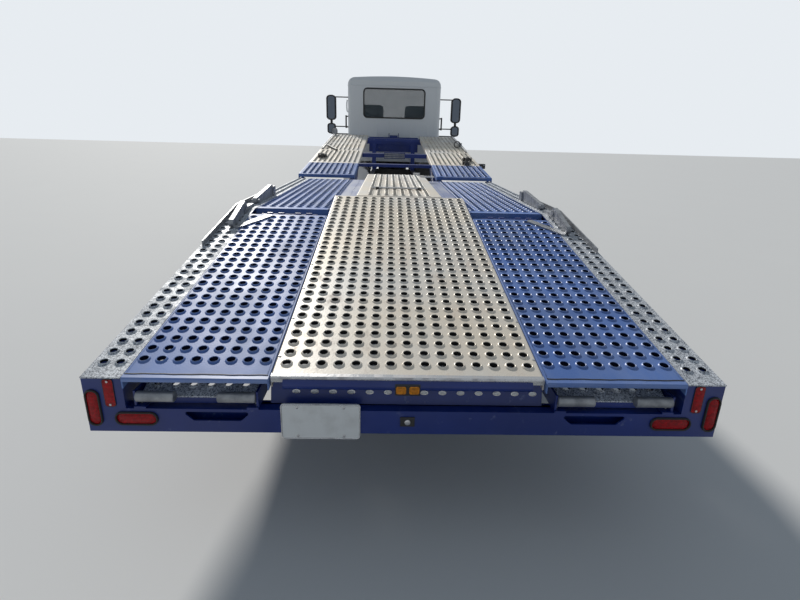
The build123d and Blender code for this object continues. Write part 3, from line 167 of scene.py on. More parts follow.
class Shell:
    """Points and faces gathered from several surfaces, each face with its finish number."""

    def __init__(self):
        self.points, self.faces, self.finishes, self.wear = [], [], [], []
        self.count = 0

    def add(self, points, faces, finish=0, wear=None):
        """Add points as an (n, 3) array and faces as index arrays that start at 0."""
        for face in faces:
            block = np.asarray(face, int).reshape(-1, np.shape(face)[-1]) + self.count
            self.faces.extend(block.tolist())
            self.finishes.append(np.full(len(block), finish))
        self.points.append(points)
        self.wear.append(np.zeros(len(points)) if wear is None else wear)
        self.count += len(points)

    def on(self, side, points, faces, finish=0):
        """Add a surface made for the right side, or with a side of -1 its mirror image."""
        if side < 0:
            points, faces = points * (-1, 1, 1), flipped(faces)
        self.add(points, faces, finish)

    def both(self, points, faces, finish=0):
        """Add a surface and its mirror image."""
        self.on(1, points, faces, finish)
        self.on(-1, points, faces, finish)


def piece(name, shell, finishes, body="chassis", stands_for=(), smooth=35, bevel=0):
    """A named mesh object made from a shell, riding on a body."""
    mesh = bpy.data.meshes.new(name)
    mesh.from_pydata(np.concatenate(shell.points).tolist(), [], shell.faces)
    mesh.polygons.foreach_set("material_index", np.concatenate(shell.finishes).astype(np.int32))
    mesh.polygons.foreach_set("use_smooth", np.ones(len(mesh.polygons), bool))
    mesh.attributes.new("wear", "FLOAT", "POINT").data.foreach_set("value", np.concatenate(shell.wear))
    mesh.set_sharp_from_angle(angle=radians(smooth))
    for finish in finishes:
        mesh.materials.append(FINISHES[finish]())
    mesh.update()
    thing = bpy.data.objects.new(name, mesh)
    bpy.context.collection.objects.link(thing)
    if bevel:
        edge = thing.modifiers.new("edge", "BEVEL")
        edge.width, edge.segments, edge.limit_method = bevel, 2, "ANGLE"
    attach(thing, body)
    if stands_for:
        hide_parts(*stands_for)
    return thing


def facing_rear(distance):
    """Lays u to X, v to Z and w toward the rear from a distance along the truck."""
    return lambda u, v, w: np.stack([u, at(distance) - w, v], -1)


def facing_front(distance):
    """Lays u to X, v to Z and w forward from a distance along the truck."""
    return lambda u, v, w: np.stack([u, at(distance) + w, v], -1)


def facing_side(x):
    """Lays u to the distance along the truck, v to Z and w outward to the right from x."""
    return lambda u, v, w: np.stack([x + w, at(u), v], -1)


def facing_up(height):
    """Lays u to X, v to the distance along the truck and w upward from a height that depends on v."""
    return lambda u, v, w: np.stack([u, at(v), height(v) + w], -1)


def tilted(middle, tip):
    """Lays u to X, v up a leaning face and w off it; tip is the angle that the face leans back."""
    lean, lift = np.array([0, -sin(tip), cos(tip)]), np.array([0, cos(tip), sin(tip)])
    base = np.array([middle[0], at(middle[1]), middle[2]])
    return lambda u, v, w: base + np.stack([u, 0 * u, 0 * u], -1) + v[..., None] * lean + w[..., None] * lift


def laid(lay, flat, w):
    """Points of a (..., 2) array laid into space at a height w, as one list of points."""
    return lay(flat[..., 0].ravel(), flat[..., 1].ravel(), np.broadcast_to(w, flat.shape[:-1]).ravel())


def rounded(width, height, radius, steps=5, centre=(0.0, 0.0)):
    """A rectangle with quarter-circle corners, counter-clockwise."""
    turn = np.linspace(0, pi / 2, steps + 1)
    corners = [(1, 1, 0), (-1, 1, pi / 2), (-1, -1, pi), (1, -1, 3 * pi / 2)]
    parts = [np.stack([sx * (width / 2 - radius) + radius * np.cos(turn + a),
                       sy * (height / 2 - radius) + radius * np.sin(turn + a)], -1) for sx, sy, a in corners]
    return np.concatenate(parts) + np.asarray(centre)


def softened(corners, radius, steps=4):
    """A polygon whose corners become quadratic curves between points eased along both of their edges."""
    corners = np.asarray(corners, float)
    before, after = np.roll(corners, 1, 0) - corners, np.roll(corners, -1, 0) - corners
    before /= np.linalg.norm(before, axis=1, keepdims=True)
    after /= np.linalg.norm(after, axis=1, keepdims=True)
    t = np.linspace(0, 1, steps + 1)[None, :, None]
    a, b = corners + before * radius, corners + after * radius
    curve = (1 - t) ** 2 * a[:, None] + 2 * t * (1 - t) * corners[:, None] + t ** 2 * b[:, None]
    return curve.reshape(-1, 2)


def boxes(rows):
    """Boxes from rows of (x0, x1, d0, d1, z0, z1), as eight corners and six faces each."""
    rows = np.atleast_2d(np.asarray(rows, float))
    picks = np.array([(a, b, c) for a in (0, 1) for b in (2, 3) for c in (4, 5)])
    points = np.stack([rows[:, picks[:, 0]], at(rows[:, picks[:, 1]]), rows[:, picks[:, 2]]], -1)
    sides = np.array([(0, 1, 3, 2), (4, 6, 7, 5), (0, 4, 5, 1), (2, 3, 7, 6), (0, 2, 6, 4), (1, 5, 7, 3)])
    return points.reshape(-1, 3), [(sides[None] + 8 * np.arange(len(rows))[:, None, None]).reshape(-1, 4)]


def carried(profile, d0, d1, height):
    """A closed (x, rise) profile carried from d0 to d1 at a height that depends on the distance."""
    profile, run = np.asarray(profile, float), np.array([d0, d1], float)
    x = np.broadcast_to(profile[:, 0], (2, len(profile)))
    z = height(run)[:, None] + profile[None, :, 1]
    points = np.stack([x, np.broadcast_to(at(run)[:, None], x.shape), z], -1).reshape(-1, 3)
    return turn_out(points, capped(2, len(profile)))


def extruded(outline, lay, start, end):
    """A flat outline laid into space by lay(u, v, w) and drawn out from w = start to w = end."""
    outline = np.asarray(outline, float)
    return turn_out(np.concatenate([laid(lay, outline, w) for w in (start, end)]), capped(2, len(outline)))


def bead(outline, section, lay):
    """A closed outline with a closed (out, up) section carried round it along the outline's normals.

    A normal is the difference of a point's two neighbours turned by a quarter, outwards by the sign of the
    outline's area.
    """
    outline, section = np.asarray(outline, float), np.asarray(section, float)
    ahead = np.roll(outline, -1, 0)
    run = ahead - np.roll(outline, 1, 0)
    normal = np.stack([run[:, 1], -run[:, 0]], -1) / np.linalg.norm(run, axis=1, keepdims=True)
    normal *= np.sign(np.sum(outline[:, 0] * ahead[:, 1] - ahead[:, 0] * outline[:, 1]))
    flat = outline[:, None] + normal[:, None] * section[None, :, :1]
    return turn_out(laid(lay, flat, section[:, 1]), [quads(len(outline), len(section), True)])


def dome(outline, rise, lay, steps=6, foot=0.0):
    """A pillow over an outline: rings shrink to the middle while w grows as rise * sqrt(1 - shrink ** 2)."""
    outline = np.asarray(outline, float)
    middle, k = outline.mean(0), len(outline)
    shrink = np.cos(np.linspace(0, pi / 2, steps + 1))[:-1, None]
    flat = middle + (outline - middle)[None] * shrink[..., None]
    rings = laid(lay, flat, foot + rise * np.sqrt(1 - shrink ** 2))
    ends = laid(lay, np.array([middle, middle]), np.array([foot + rise, foot]))
    loop, last = np.arange(k), (steps - 1) * k
    beside = (loop + 1) % k
    top = np.stack([last + loop, last + beside, np.full(k, steps * k)], -1)
    base = np.stack([beside, loop, np.full(k, steps * k + 1)], -1)
    return turn_out(np.concatenate([rings, ends]), [quads(steps, k), top, base])


def turned(profile, sides, origin, axis, closed=True):
    """A profile of (along, radius) turned about an axis; a radius of 0 closes a pole."""
    profile, count = np.asarray(profile, float), len(profile)
    axis = np.asarray(axis, float)
    side = np.cross(axis, (0, 0, 1))
    turn = circle(sides)
    ring = turn[:, :1] * side + turn[:, 1:] * np.cross(axis, side)
    points = np.asarray(origin, float) + profile[None, :, :1] * axis + profile[None, :, 1:] * ring[:, None]
    faces = [quads(sides, count, True, False)]
    if closed:
        loop = np.arange(sides) * count
        faces += [loop[None], (loop[::-1] + count - 1)[None]]
    return turn_out(points.reshape(-1, 3), faces)


def tube(path, radius, sides=10):
    """A round tube along a path; each ring stands square to the path's direction there."""
    path = np.asarray(path, float)
    run = np.gradient(path, axis=0)
    run /= np.linalg.norm(run, axis=1, keepdims=True)
    helper = np.array([0, 0, 1.0]) if abs(run[:, 2]).max() < 0.95 else np.array([0.0, 1.0, 0.1])
    side = np.cross(run, helper)
    side /= np.linalg.norm(side, axis=1, keepdims=True)
    third = np.cross(run, side)
    turn = circle(sides)[None, :, :, None]
    points = path[:, None] + radius * (turn[:, :, 0] * side[:, None] + turn[:, :, 1] * third[:, None])
    return turn_out(points.reshape(-1, 3), capped(len(path), sides))


def studs(places, lay, radius, height, sides=6):
    """Bolt heads at (u, v) places: a six-sided prism with a narrower, higher top ring."""
    places = np.atleast_2d(np.asarray(places, float))
    levels = np.array([(1.0, 0.0), (1.0, 0.75), (0.72, 1.0)])
    flat = places[:, None, None] + radius * levels[None, :, None, :1] * circle(sides)[None, None]
    step = (3 * sides * np.arange(len(places)))[:, None, None]
    wall, foot, top = capped(3, sides)
    faces = [(face[None] + step).reshape(-1, face.shape[-1]) for face in (wall, top, foot)]
    return turn_out(laid(lay, flat, height * levels[None, :, None, 1]), faces)


def holed(columns, rows, pitch, hole, height):
    """A sheet of square cells, each with a round hole in a raised rim.

    Every cell is seven rings of twelve points: square edge, rim foot, rim side, rim crest, hole edge, the
    hole's lower edge and the square edge below. A ring's point is its radius times (cos a, sin a); on the
    square edge the radius is divided by the greater of |cos a| and |sin a|. Wear is highest on the crest
    and goes below nothing down the hole, where the finishes read it as caked dirt.
    """
    sides = 12
    way = circle(sides, radians(15))
    square = way / np.abs(way).max(1, keepdims=True) * (pitch[0] / 2, pitch[1] / 2)
    rings = [square, *(way * (hole / 2 + out) for out, _, _ in RIM), square]
    flat = np.concatenate(rings)
    rise = np.repeat([0.0, *(w for _, w, _ in RIM), -PLATE], sides)
    # Scuff of each ring; below nothing it stands for painted shade down the hole.
    scuff = np.repeat([0.0, *(wear for _, _, wear in RIM), 0.0], sides)
    u, v = np.meshgrid(columns, rows)
    centres = np.stack([u.ravel(), v.ravel()], -1)
    points = laid(facing_up(height), centres[:, None] + flat[None], rise)
    step = len(flat) * np.arange(len(centres))[:, None, None]
    faces = quads(len(rings), sides)[None] + step
    return points, [faces.reshape(-1, 4)], np.tile(scuff, len(centres))


def perforated(shell, x0, x1, d0, d1, height, holes, rows, finish=0, hole_share=1.0):
    """Holed cells in the middle of a plate, and plain strips beside and beyond them."""
    (columns, width), pitch = holes, sizes().row_pitch
    points, faces, wear = holed(columns, rows, (width, pitch), sizes().hole * hole_share, height)
    shell.add(points, faces, finish, wear)
    left, right = columns[0] - width / 2, columns[-1] + width / 2
    first, last = rows[0] - pitch / 2, rows[-1] + pitch / 2
    for a, b, near, far in ((x0, left, d0, d1), (right, x1, d0, d1), (left, right, d0, first),
                            (left, right, last, d1)):
        if min(b - a, far - near) > 1e-4:
            strip = [(a, 0), (b, 0), (b, -PLATE), (a, -PLATE)]
            shell.add(*carried(strip, near, far, height), finish)


def folded_sheet(shell, x0, x1, d0, d1, height, flange, holes, rows, finish=0):
    """A perforated plate whose two long edges are bent down into flanges."""
    perforated(shell, x0 + FOLD, x1 - FOLD, d0, d1, height, holes, rows, finish)
    bend = [(FOLD, 0), (0.007, 0), (0.0033, -0.0012), (0.0009, -0.0038), (0, -0.0075), (0, -flange),
            (PLATE, -flange), (PLATE, -0.0095), (0.0065, -PLATE - 0.0012), (FOLD, -PLATE)]
    for edge, side in ((x0, 1), (x1, -1)):
        shell.add(*carried([(edge + side * x, w) for x, w in bend], d0, d1, height), finish)


# Finishes
class Wire:
    """A shader value that takes arithmetic: each operation adds its Math node."""

    def __init__(self, nodes, socket):
        self.nodes, self.socket = nodes, socket

    def maths(self, operation, first, second):
        return self.nodes.node("ShaderNodeMath", {"operation": operation}, {0: first, 1: second})

    def __add__(self, other):
        return self.maths("ADD", self, other)

    def __sub__(self, other):
        return self.maths("SUBTRACT", self, other)

    def __rsub__(self, other):
        return self.maths("SUBTRACT", other, self)

    def __mul__(self, other):
        return self.maths("MULTIPLY", self, other)

    __radd__ = __add__
    __rmul__ = __mul__


class Nodes:
    """A node tree whose nodes are all made by one method."""

    def __init__(self, tree):
        self.tree = tree

    def put(self, socket, value):
        """A value or a link into a socket; a colour of three numbers is made opaque."""
        if isinstance(value, Wire):
            self.tree.links.new(value.socket, socket)
        elif hasattr(value, "__len__") and len(value) == 3 and len(socket.default_value) == 4:
            socket.default_value = (*value, 1.0)
        else:
            socket.default_value = value

    def node(self, kind, settings=None, inputs=None, output=0):
        """Any node by its type, its settings, and the values or links of its sockets."""
        made = self.tree.nodes.new(kind)
        for key, value in (settings or {}).items():
            setattr(made, key, value)
        for key, value in (inputs or {}).items():
            self.put(made.inputs[key], value)
        return Wire(self, made.outputs[output]) if made.outputs else made


class Finish(Nodes):
    """One node material around a single surface shader."""

    def __init__(self, name, **own):
        self.material = bpy.data.materials.new(f"{name}_finish")
        self.material.use_nodes = True
        super().__init__(self.material.node_tree)
        self.set(**own)

    def set(self, **values):
        """Values or links into the surface shader's own sockets."""
        for key, value in values.items():
            self.put(self.tree.nodes["Principled BSDF"].inputs[key.replace("_", " ")], value)

    def place(self, stretch=(1, 1, 1)):
        where = self.node("ShaderNodeTexCoord", output="Object")
        return self.node("ShaderNodeVectorMath", {"operation": "MULTIPLY"}, {0: where, 1: stretch})

    def height(self):
        return self.node("ShaderNodeSeparateXYZ", inputs={0: self.place()}, output="Z")

    def noise(self, scale, detail=3.0, stretch=(1, 1, 1), rough=0.55):
        return self.node("ShaderNodeTexNoise", inputs={"Vector": self.place(stretch), "Scale": scale,
                                                       "Detail": detail, "Roughness": rough})

    def wave(self, direction, scale):
        """Even stripes across one axis."""
        return self.node("ShaderNodeTexWave", {"bands_direction": direction},
                         {"Vector": self.place(), "Scale": scale})

    def spangle(self, scale):
        """A random grey for each crystal of a cell pattern."""
        pattern = {"Vector": self.place(), "Scale": scale}
        cells = self.node("ShaderNodeTexVoronoi", inputs=pattern, output="Color")
        return self.node("ShaderNodeSeparateColor", inputs={0: cells})

    def worn(self):
        """How scuffed the piece says that it is at each point."""
        return self.node("ShaderNodeAttribute", {"attribute_name": "wear"}, output="Fac")

    def caked(self):
        """1 down inside a hole, where wear lies below nothing."""
        return self.spread(self.worn() * -1.0, 0.0, 0.25)

    def spread(self, value, low, high):
        """0 below low, 1 above high and smooth between."""
        return self.node("ShaderNodeMapRange", {"interpolation_type": "SMOOTHSTEP"},
                         {"Value": value, "From Min": low, "From Max": high})

    def patches(self, low, high, *pattern, **shape):
        """Noise spread to patches: 0 where it lies below low and 1 above high."""
        return self.spread(self.noise(*pattern, **shape), low, high)

    def mix(self, share, first, second):
        return self.node("ShaderNodeMix", {"data_type": "RGBA"}, {0: share, 6: first, 7: second}, 2)

    def bump(self, height, distance):
        return self.node("ShaderNodeBump", inputs={"Strength": 1.0, "Distance": distance, "Height": height})


def colour(name, share=1.0):
    """A colour of the panel, darkened to a share of itself."""
    return tuple(share * c for c in getattr(bpy.context.scene.transporter_colours, name))


FINISHES = {}


def finish(**own):
    """Keeps a recipe under its name; its material is made when a piece first asks for it, and used again."""
    def keep(recipe):
        made = []

        def give():
            if not made:
                f = Finish(recipe.__name__, **own)
                made.append(f.material)
                recipe(f)
            return made[0]
        FINISHES[recipe.__name__] = give
        return recipe
    return keep


@finish(Coat_Weight=0.12, Coat_Roughness=0.3)
def blue_paint(f):
    """Deep blue enamel with lengthwise scuffs, pale where rubbed, and a little dust."""
    base = f.mix(f.patches(0.3, 0.7, 2.2, 4), colour("deck_blue"), colour("deck_blue", 0.72))
    scuff = f.noise(26, 5, (1, 0.12, 1), 0.7) * 0.6 + f.noise(7, 5, (1, 0.5, 1)) * 0.4
    scuff = f.spread(scuff, 0.58, 0.68)
    dust = f.patches(0.46, 0.75, 3.1, 6) * 0.18
    top = f.mix(scuff * 0.4, f.mix(dust, base, (0.12, 0.15, 0.28)), (0.22, 0.26, 0.42))
    f.set(Base_Color=top, Roughness=0.34 + 0.22 * scuff + 0.2 * dust,
          Normal=f.bump(f.noise(160, 2) * 0.3 + scuff * -0.4, 0.0006))


@finish(Coat_Roughness=0.36, Specular_IOR_Level=0.12)
def track_paint(f):
    """The same enamel on the tracks: crests of the rims are rubbed bright, and the tops are dusty."""
    base = f.mix(f.patches(0.3, 0.7, 1.7, 4), colour("track_blue"), colour("track_blue", 0.75))
    lanes = f.patches(0.42, 0.7, 11, 4, (1, 0.1, 1), 0.65)
    dust = f.patches(0.36, 0.74, 4.5, 7, (1, 0.6, 1)) * 0.32 + lanes * 0.14
    dusty = f.mix(dust, base, (0.30, 0.35, 0.47))
    rim = f.spread(f.worn(), 0.1, 0.6)
    # Rubbed crests are real wear, lightened further as a painted highlight on the rims.
    rubbed = f.spread(f.worn() * (0.45 + f.noise(60, 3)), 0.70, 1.1)
    shown = f.mix(rubbed * 0.6, dusty, (0.56, 0.62, 0.78))
    # Near-black navy down the holes is painted shade.
    f.set(Base_Color=f.mix(f.caked(), shown, (0.003, 0.005, 0.022)), Roughness=0.41 + dust * 0.3,
          Coat_Weight=rim * 0.9, Metallic=rubbed * 0.35, Normal=f.bump(f.noise(220, 2), 0.0004))


@finish()
def scuffed_blue(f):
    """Old enamel gone pale and chalky, with lengthwise rubs down to grey."""
    chalk = f.patches(0.35, 0.65, 8, 5, (1, 0.25, 1))
    rubs = f.patches(0.55, 0.7, 60, 4, (1, 0.05, 1), 0.7)
    pale = f.mix(chalk, (0.16, 0.20, 0.38), (0.30, 0.33, 0.44))
    f.set(Base_Color=f.mix(rubs * 0.5, pale, (0.45, 0.46, 0.52)), Roughness=0.45 + chalk * 0.15,
          Normal=f.bump(f.noise(120, 3) + rubs, 0.0003))


@finish(Specular_IOR_Level=0.3)
def tan_plate(f):
    """Bare warm metal: stained, streaked by tyres along the truck, brighter on the rims."""
    base = f.mix(f.patches(0.35, 0.68, 1.3, 5), colour("panel_tan"), (0.73, 0.70, 0.66))
    rust = f.patches(0.50, 0.72, 9, 8, (1, 0.45, 1), 0.7)
    stained = f.mix(rust * 0.40, base, (0.42, 0.29, 0.22))
    streak = f.patches(0.5, 0.68, 34, 4, (1, 0.06, 1))
    shown = f.mix(streak * 0.30, stained, (0.82, 0.78, 0.72))
    rubbed = f.spread(f.worn() * (0.4 + f.noise(50, 3)), 0.65, 1.1)
    # Near-black down the holes is painted shade.
    caked = f.caked()
    shown = f.mix(rubbed * 0.4, shown, (0.84, 0.81, 0.76))
    f.set(Base_Color=f.mix(caked, shown, (0.008, 0.008, 0.009)),
          Metallic=(0.13 - rust * 0.10) * (1.0 - caked),
          Roughness=0.40 + rust * 0.25 - rubbed * 0.12 + caked * 0.3,
          Normal=f.bump(f.noise(120, 3) + rust * 0.5, 0.0005))


@finish(Specular_IOR_Level=0.18)
def galvanised(f):
    """Hot-dip zinc: grey crystals, fine dark specks and dull blotches."""
    crystal = f.spangle(110)
    blotch = f.patches(0.42, 0.62, 14, 6)
    speck = f.patches(0.46, 0.60, 150, 5, rough=0.75)
    base = f.mix(crystal * 0.34 + blotch * 0.14, (0.82, 0.85, 0.90), (0.13, 0.15, 0.19))
    rubbed = f.spread(f.worn(), 0.4, 1.0)
    shown = f.mix(rubbed * 0.25, f.mix(speck * 0.88, base, (0.05, 0.06, 0.09)), (0.50, 0.52, 0.56))
    # Near-black down the holes is painted shade.
    caked = f.caked()
    f.set(Base_Color=f.mix(caked, shown, (0.008, 0.009, 0.011)),
          Metallic=(0.09 - blotch * 0.05) * (1.0 - caked),
          Roughness=0.42 + crystal * 0.12 + blotch * 0.14, Normal=f.bump(crystal + blotch, 0.0004))


@finish()
def plain_galvanised(f):
    """Smooth zinc on tubes and levers."""
    shade = f.patches(0.35, 0.7, 18, 5)
    f.set(Base_Color=f.mix(shade, (0.36, 0.37, 0.39), (0.20, 0.21, 0.23)), Metallic=0.45 + shade * 0.1,
          Roughness=0.40 + shade * 0.15, Normal=f.bump(f.noise(90, 3), 0.0003))


@finish(Coat_Weight=0.45, Coat_Roughness=0.12)
def white_paint(f):
    """Cab white, dusty low down and faintly streaked."""
    low = 1.0 - f.spread(f.height(), 0.75, 1.7)
    dust = low * f.patches(0.3, 0.75, 5, 6)
    streak = f.patches(0.55, 0.8, 13, 4, (1, 1, 0.08))
    shown = f.mix(streak * 0.16, colour("cab_white"), (0.60, 0.59, 0.56))
    f.set(Base_Color=f.mix(dust * 0.5, shown, (0.43, 0.40, 0.35)), Roughness=0.27 + dust * 0.35,
          Normal=f.bump(f.noise(180, 2), 0.0001))


@finish()
def frame_black(f):
    """Satin chassis black under road dust."""
    dust = f.patches(0.4, 0.75, 6, 6)
    f.set(Base_Color=f.mix(dust * 0.45, (0.016, 0.016, 0.018), (0.12, 0.11, 0.10)),
          Roughness=0.42 + dust * 0.3, Normal=f.bump(f.noise(90, 4), 0.0005))


@finish()
def black_plastic(f):
    """Grained black plastic, greyed on top."""
    fade = f.patches(0.35, 0.75, 4, 4)
    f.set(Base_Color=f.mix(fade * 0.5, (0.014, 0.014, 0.015), (0.045, 0.045, 0.048)),
          Roughness=0.45 + fade * 0.15, Normal=f.bump(f.noise(420, 2), 0.0003))


@finish()
def gasket(f):
    """Black window rubber."""
    f.set(Base_Color=f.mix(f.noise(20, 3) * 0.4, (0.010, 0.010, 0.010), (0.05, 0.05, 0.05)),
          Roughness=0.55 + f.noise(60, 2) * 0.1, Normal=f.bump(f.noise(300, 2), 0.0002))


@finish()
def tyre_rubber(f):
    """Tyre black with brown dust in the grooves and a scuffed side wall."""
    dust = f.patches(0.4, 0.75, 16, 6) * 0.5
    low = 1.0 - f.worn()
    shown = f.mix(dust * 0.35 + low * 0.25, (0.018, 0.018, 0.018), (0.15, 0.125, 0.10))
    f.set(Base_Color=shown, Roughness=0.72 + dust * 0.15, Normal=f.bump(f.noise(260, 3), 0.0006))


@finish()
def flap_rubber(f):
    """Matte mud flap rubber with a road-dust fade."""
    low = 1.0 - f.spread(f.height(), 0.3, 0.9)
    f.set(Base_Color=f.mix(low * f.noise(9, 5), (0.02, 0.02, 0.02), (0.16, 0.14, 0.12)),
          Roughness=0.7 + low * 0.1, Normal=f.bump(f.noise(150, 3), 0.0008))


@finish(IOR=1.45, Specular_IOR_Level=0.6)
def window_glass(f):
    """Lightly smoked window glass with a few smears."""
    smear = f.patches(0.45, 0.8, 6, 5)
    f.set(Base_Color=f.mix(smear * 0.2, (0.028, 0.062, 0.080), (0.35, 0.36, 0.36)),
          Roughness=0.04 + smear * 0.08, Alpha=0.36 + smear * 0.06)


@finish(Metallic=1.0)
def mirror_glass(f):
    """Bright mirror with a trace of dust."""
    dust = f.patches(0.5, 0.8, 12, 5)
    f.set(Base_Color=f.mix(dust * 0.2, (0.13, 0.15, 0.18), (0.3, 0.3, 0.3)), Roughness=0.03 + dust * 0.12)


LENS_GLOSS = {"Coat_Weight": 0.10, "Coat_Roughness": 0.04, "IOR": 1.49, "Specular_IOR_Level": 0.2}


def lens(f, tint, ribs):
    """Moulded lens: vertical flutes and a facet pattern under a glossy face."""
    flute = f.wave("Z", ribs)
    deep = tuple(0.25 * c for c in tint)
    f.set(Base_Color=f.mix(flute * 0.4 + f.spangle(110) * 0.5, tint, deep), Roughness=0.18 + flute * 0.08,
          Normal=f.bump(flute, 0.0008))


@finish(**LENS_GLOSS)
def red_lens(f):
    """Red lens of the tail lamps and reflectors."""
    lens(f, colour("lamp_red"), 55)


@finish(**LENS_GLOSS)
def amber_lens(f):
    """Amber lens of the roof and side lamps."""
    lens(f, (0.95, 0.33, 0.02), 60)


@finish(**LENS_GLOSS)
def clear_lens(f):
    """Clear lens of the headlamps over a grey bowl."""
    lens(f, (0.46, 0.48, 0.50), 40)


@finish(Coat_Weight=0.2)
def plate_white(f):
    """Blank plate: white with light grime."""
    grime = f.patches(0.45, 0.75, 14, 6)
    f.set(Base_Color=f.mix(grime * 0.3, (0.80, 0.81, 0.81), (0.45, 0.44, 0.42)), Roughness=0.38 + grime * 0.2,
          Normal=f.bump(f.noise(70, 3), 0.0003))


@finish(Metallic=1.0)
def bright_rod(f):
    """Hard chrome on the cylinder rods."""
    haze = f.patches(0.5, 0.8, 20, 4)
    f.set(Base_Color=f.mix(haze * 0.3, (0.80, 0.81, 0.83), (0.5, 0.5, 0.5)), Roughness=0.10 + haze * 0.18)


@finish()
def bare_edge(f):
    """Steel worn bright where wheels and hands rub it."""
    dull = f.patches(0.42, 0.7, 22, 6, (1, 0.4, 1))
    f.set(Base_Color=f.mix(dull * 0.6, (0.58, 0.58, 0.59), (0.28, 0.27, 0.28)), Metallic=0.8 - dull * 0.2,
          Roughness=0.25 + dull * 0.25, Normal=f.bump(f.noise(90, 4), 0.0005))


@finish()
def tank_aluminium(f):
    """Brushed tank aluminium."""
    brush = f.noise(90, 3, (1, 0.04, 1))
    haze = f.patches(0.4, 0.8, 5, 5)
    f.set(Base_Color=f.mix(haze * 0.4, (0.74, 0.75, 0.77), (0.50, 0.50, 0.50)), Metallic=0.85 - haze * 0.2,
          Roughness=0.26 + brush * 0.14 + haze * 0.14, Normal=f.bump(brush, 0.0003))


@finish()
def cast_iron(f):
    """Greasy cast iron."""
    oil = f.patches(0.4, 0.7, 7, 6)
    f.set(Base_Color=f.mix(oil, (0.11, 0.11, 0.12), (0.035, 0.032, 0.03)), Metallic=0.35 - oil * 0.1,
          Roughness=0.6 - oil * 0.2, Normal=f.bump(f.noise(70, 6), 0.002))


@finish(Coat_Weight=0.4, Coat_Roughness=0.15)
def bumper_steel(f):
    """Painted bumper, chipped low down."""
    chip = f.patches(0.66, 0.72, 60, 5) * (1.0 - f.spread(f.height(), 0.5, 0.75))
    f.set(Base_Color=f.mix(chip, (0.60, 0.61, 0.62), (0.09, 0.08, 0.08)), Roughness=0.3 + chip * 0.3,
          Normal=f.bump(f.noise(150, 2) - chip, 0.0004))


@finish(Sheen_Weight=0.3)
def seat_cloth(f):
    """Woven grey seat cloth."""
    weave = f.wave("X", 260.0) * f.wave("Z", 260.0)
    f.set(Base_Color=f.mix(weave * 0.5 + f.noise(9, 4) * 0.3, (0.10, 0.10, 0.11), (0.20, 0.20, 0.21)),
          Roughness=0.88 - weave * 0.08, Normal=f.bump(weave, 0.0008))


@finish()
def strap_webbing(f):
    """Pale polyester webbing, soiled."""
    dirt = f.patches(0.4, 0.7, 25, 5)
    f.set(Base_Color=f.mix(dirt * 0.6, (0.62, 0.58, 0.50), (0.25, 0.22, 0.18)), Roughness=0.85 + dirt * 0.05,
          Normal=f.bump(f.wave("Y", 160.0), 0.0007))


# What each solid that stays in view is finished in; the rest are blue
NODE_FINISHES = {
    "white_paint": ("front_rim_left", "front_rim_right", "rear_rims_left", "rear_rims_right", "cab_shell",
                    "hood", "door_left", "door_right"),
    "frame_black": ("frame_rails", "frame_members", "air_tanks", "front_axle", "rear_axle", "leaf_springs",
                    "knuckle_left", "knuckle_right", "drive_shaft", "tool_box"),
    "plain_galvanised": ("side_arms",),
    "scuffed_blue": ("infill_plates",),
    "window_glass": ("cab_glass", "door_glass_left", "door_glass_right"),
    "black_plastic": ("mirror_left", "mirror_right", "grille", "dashboard", "grab_handles"),
    "flap_rubber": ("mudflaps",),
    "clear_lens": ("headlamps",),
    "amber_lens": ("roof_lamps",),
    "plate_white": ("number_plate",),
    "bright_rod": ("lift_rod_left", "lift_rod_right"),
    "tank_aluminium": ("fuel_tank",),
    "cast_iron": ("engine",),
    "bumper_steel": ("front_bumper",),
}


def paint_nodes():
    """Finish every solid that stays in view."""
    chosen = {name: key for key, names in NODE_FINISHES.items() for name in names}
    for name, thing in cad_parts.items():
        material = FINISHES[chosen.get(name, "blue_paint")]()
        if not thing.material_slots:
            thing.data.materials.append(material)
        for slot in thing.material_slots:
            slot.material = material


# Deck
def sizes():
    return bpy.context.scene.transporter_sizes


def cells(count, middle, widen=1.0):
    """Columns of holes about a middle, and the width of one hole's cell."""
    width = sizes().column_pitch * widen
    return centred(count, width, middle), width


def row_places(first, last):
    """Rows of holes that fit between two distances, with equal margins."""
    pitch = sizes().row_pitch
    return centred(int((last - first) // pitch), pitch, (first + last) / 2)


def rear_lip(shell, x0, x1, start, profile, finish, wear=0.0):
    """A rim of (ahead, rise) points along a plate's rear edge, leaning with the tail."""
    edge = [(start + d, tail_line(start + d) + w) for d, w in profile]
    points, faces = extruded(edge, facing_side(x0), 0, x1 - x0)
    shell.add(points, faces, finish, np.full(len(points), wear))


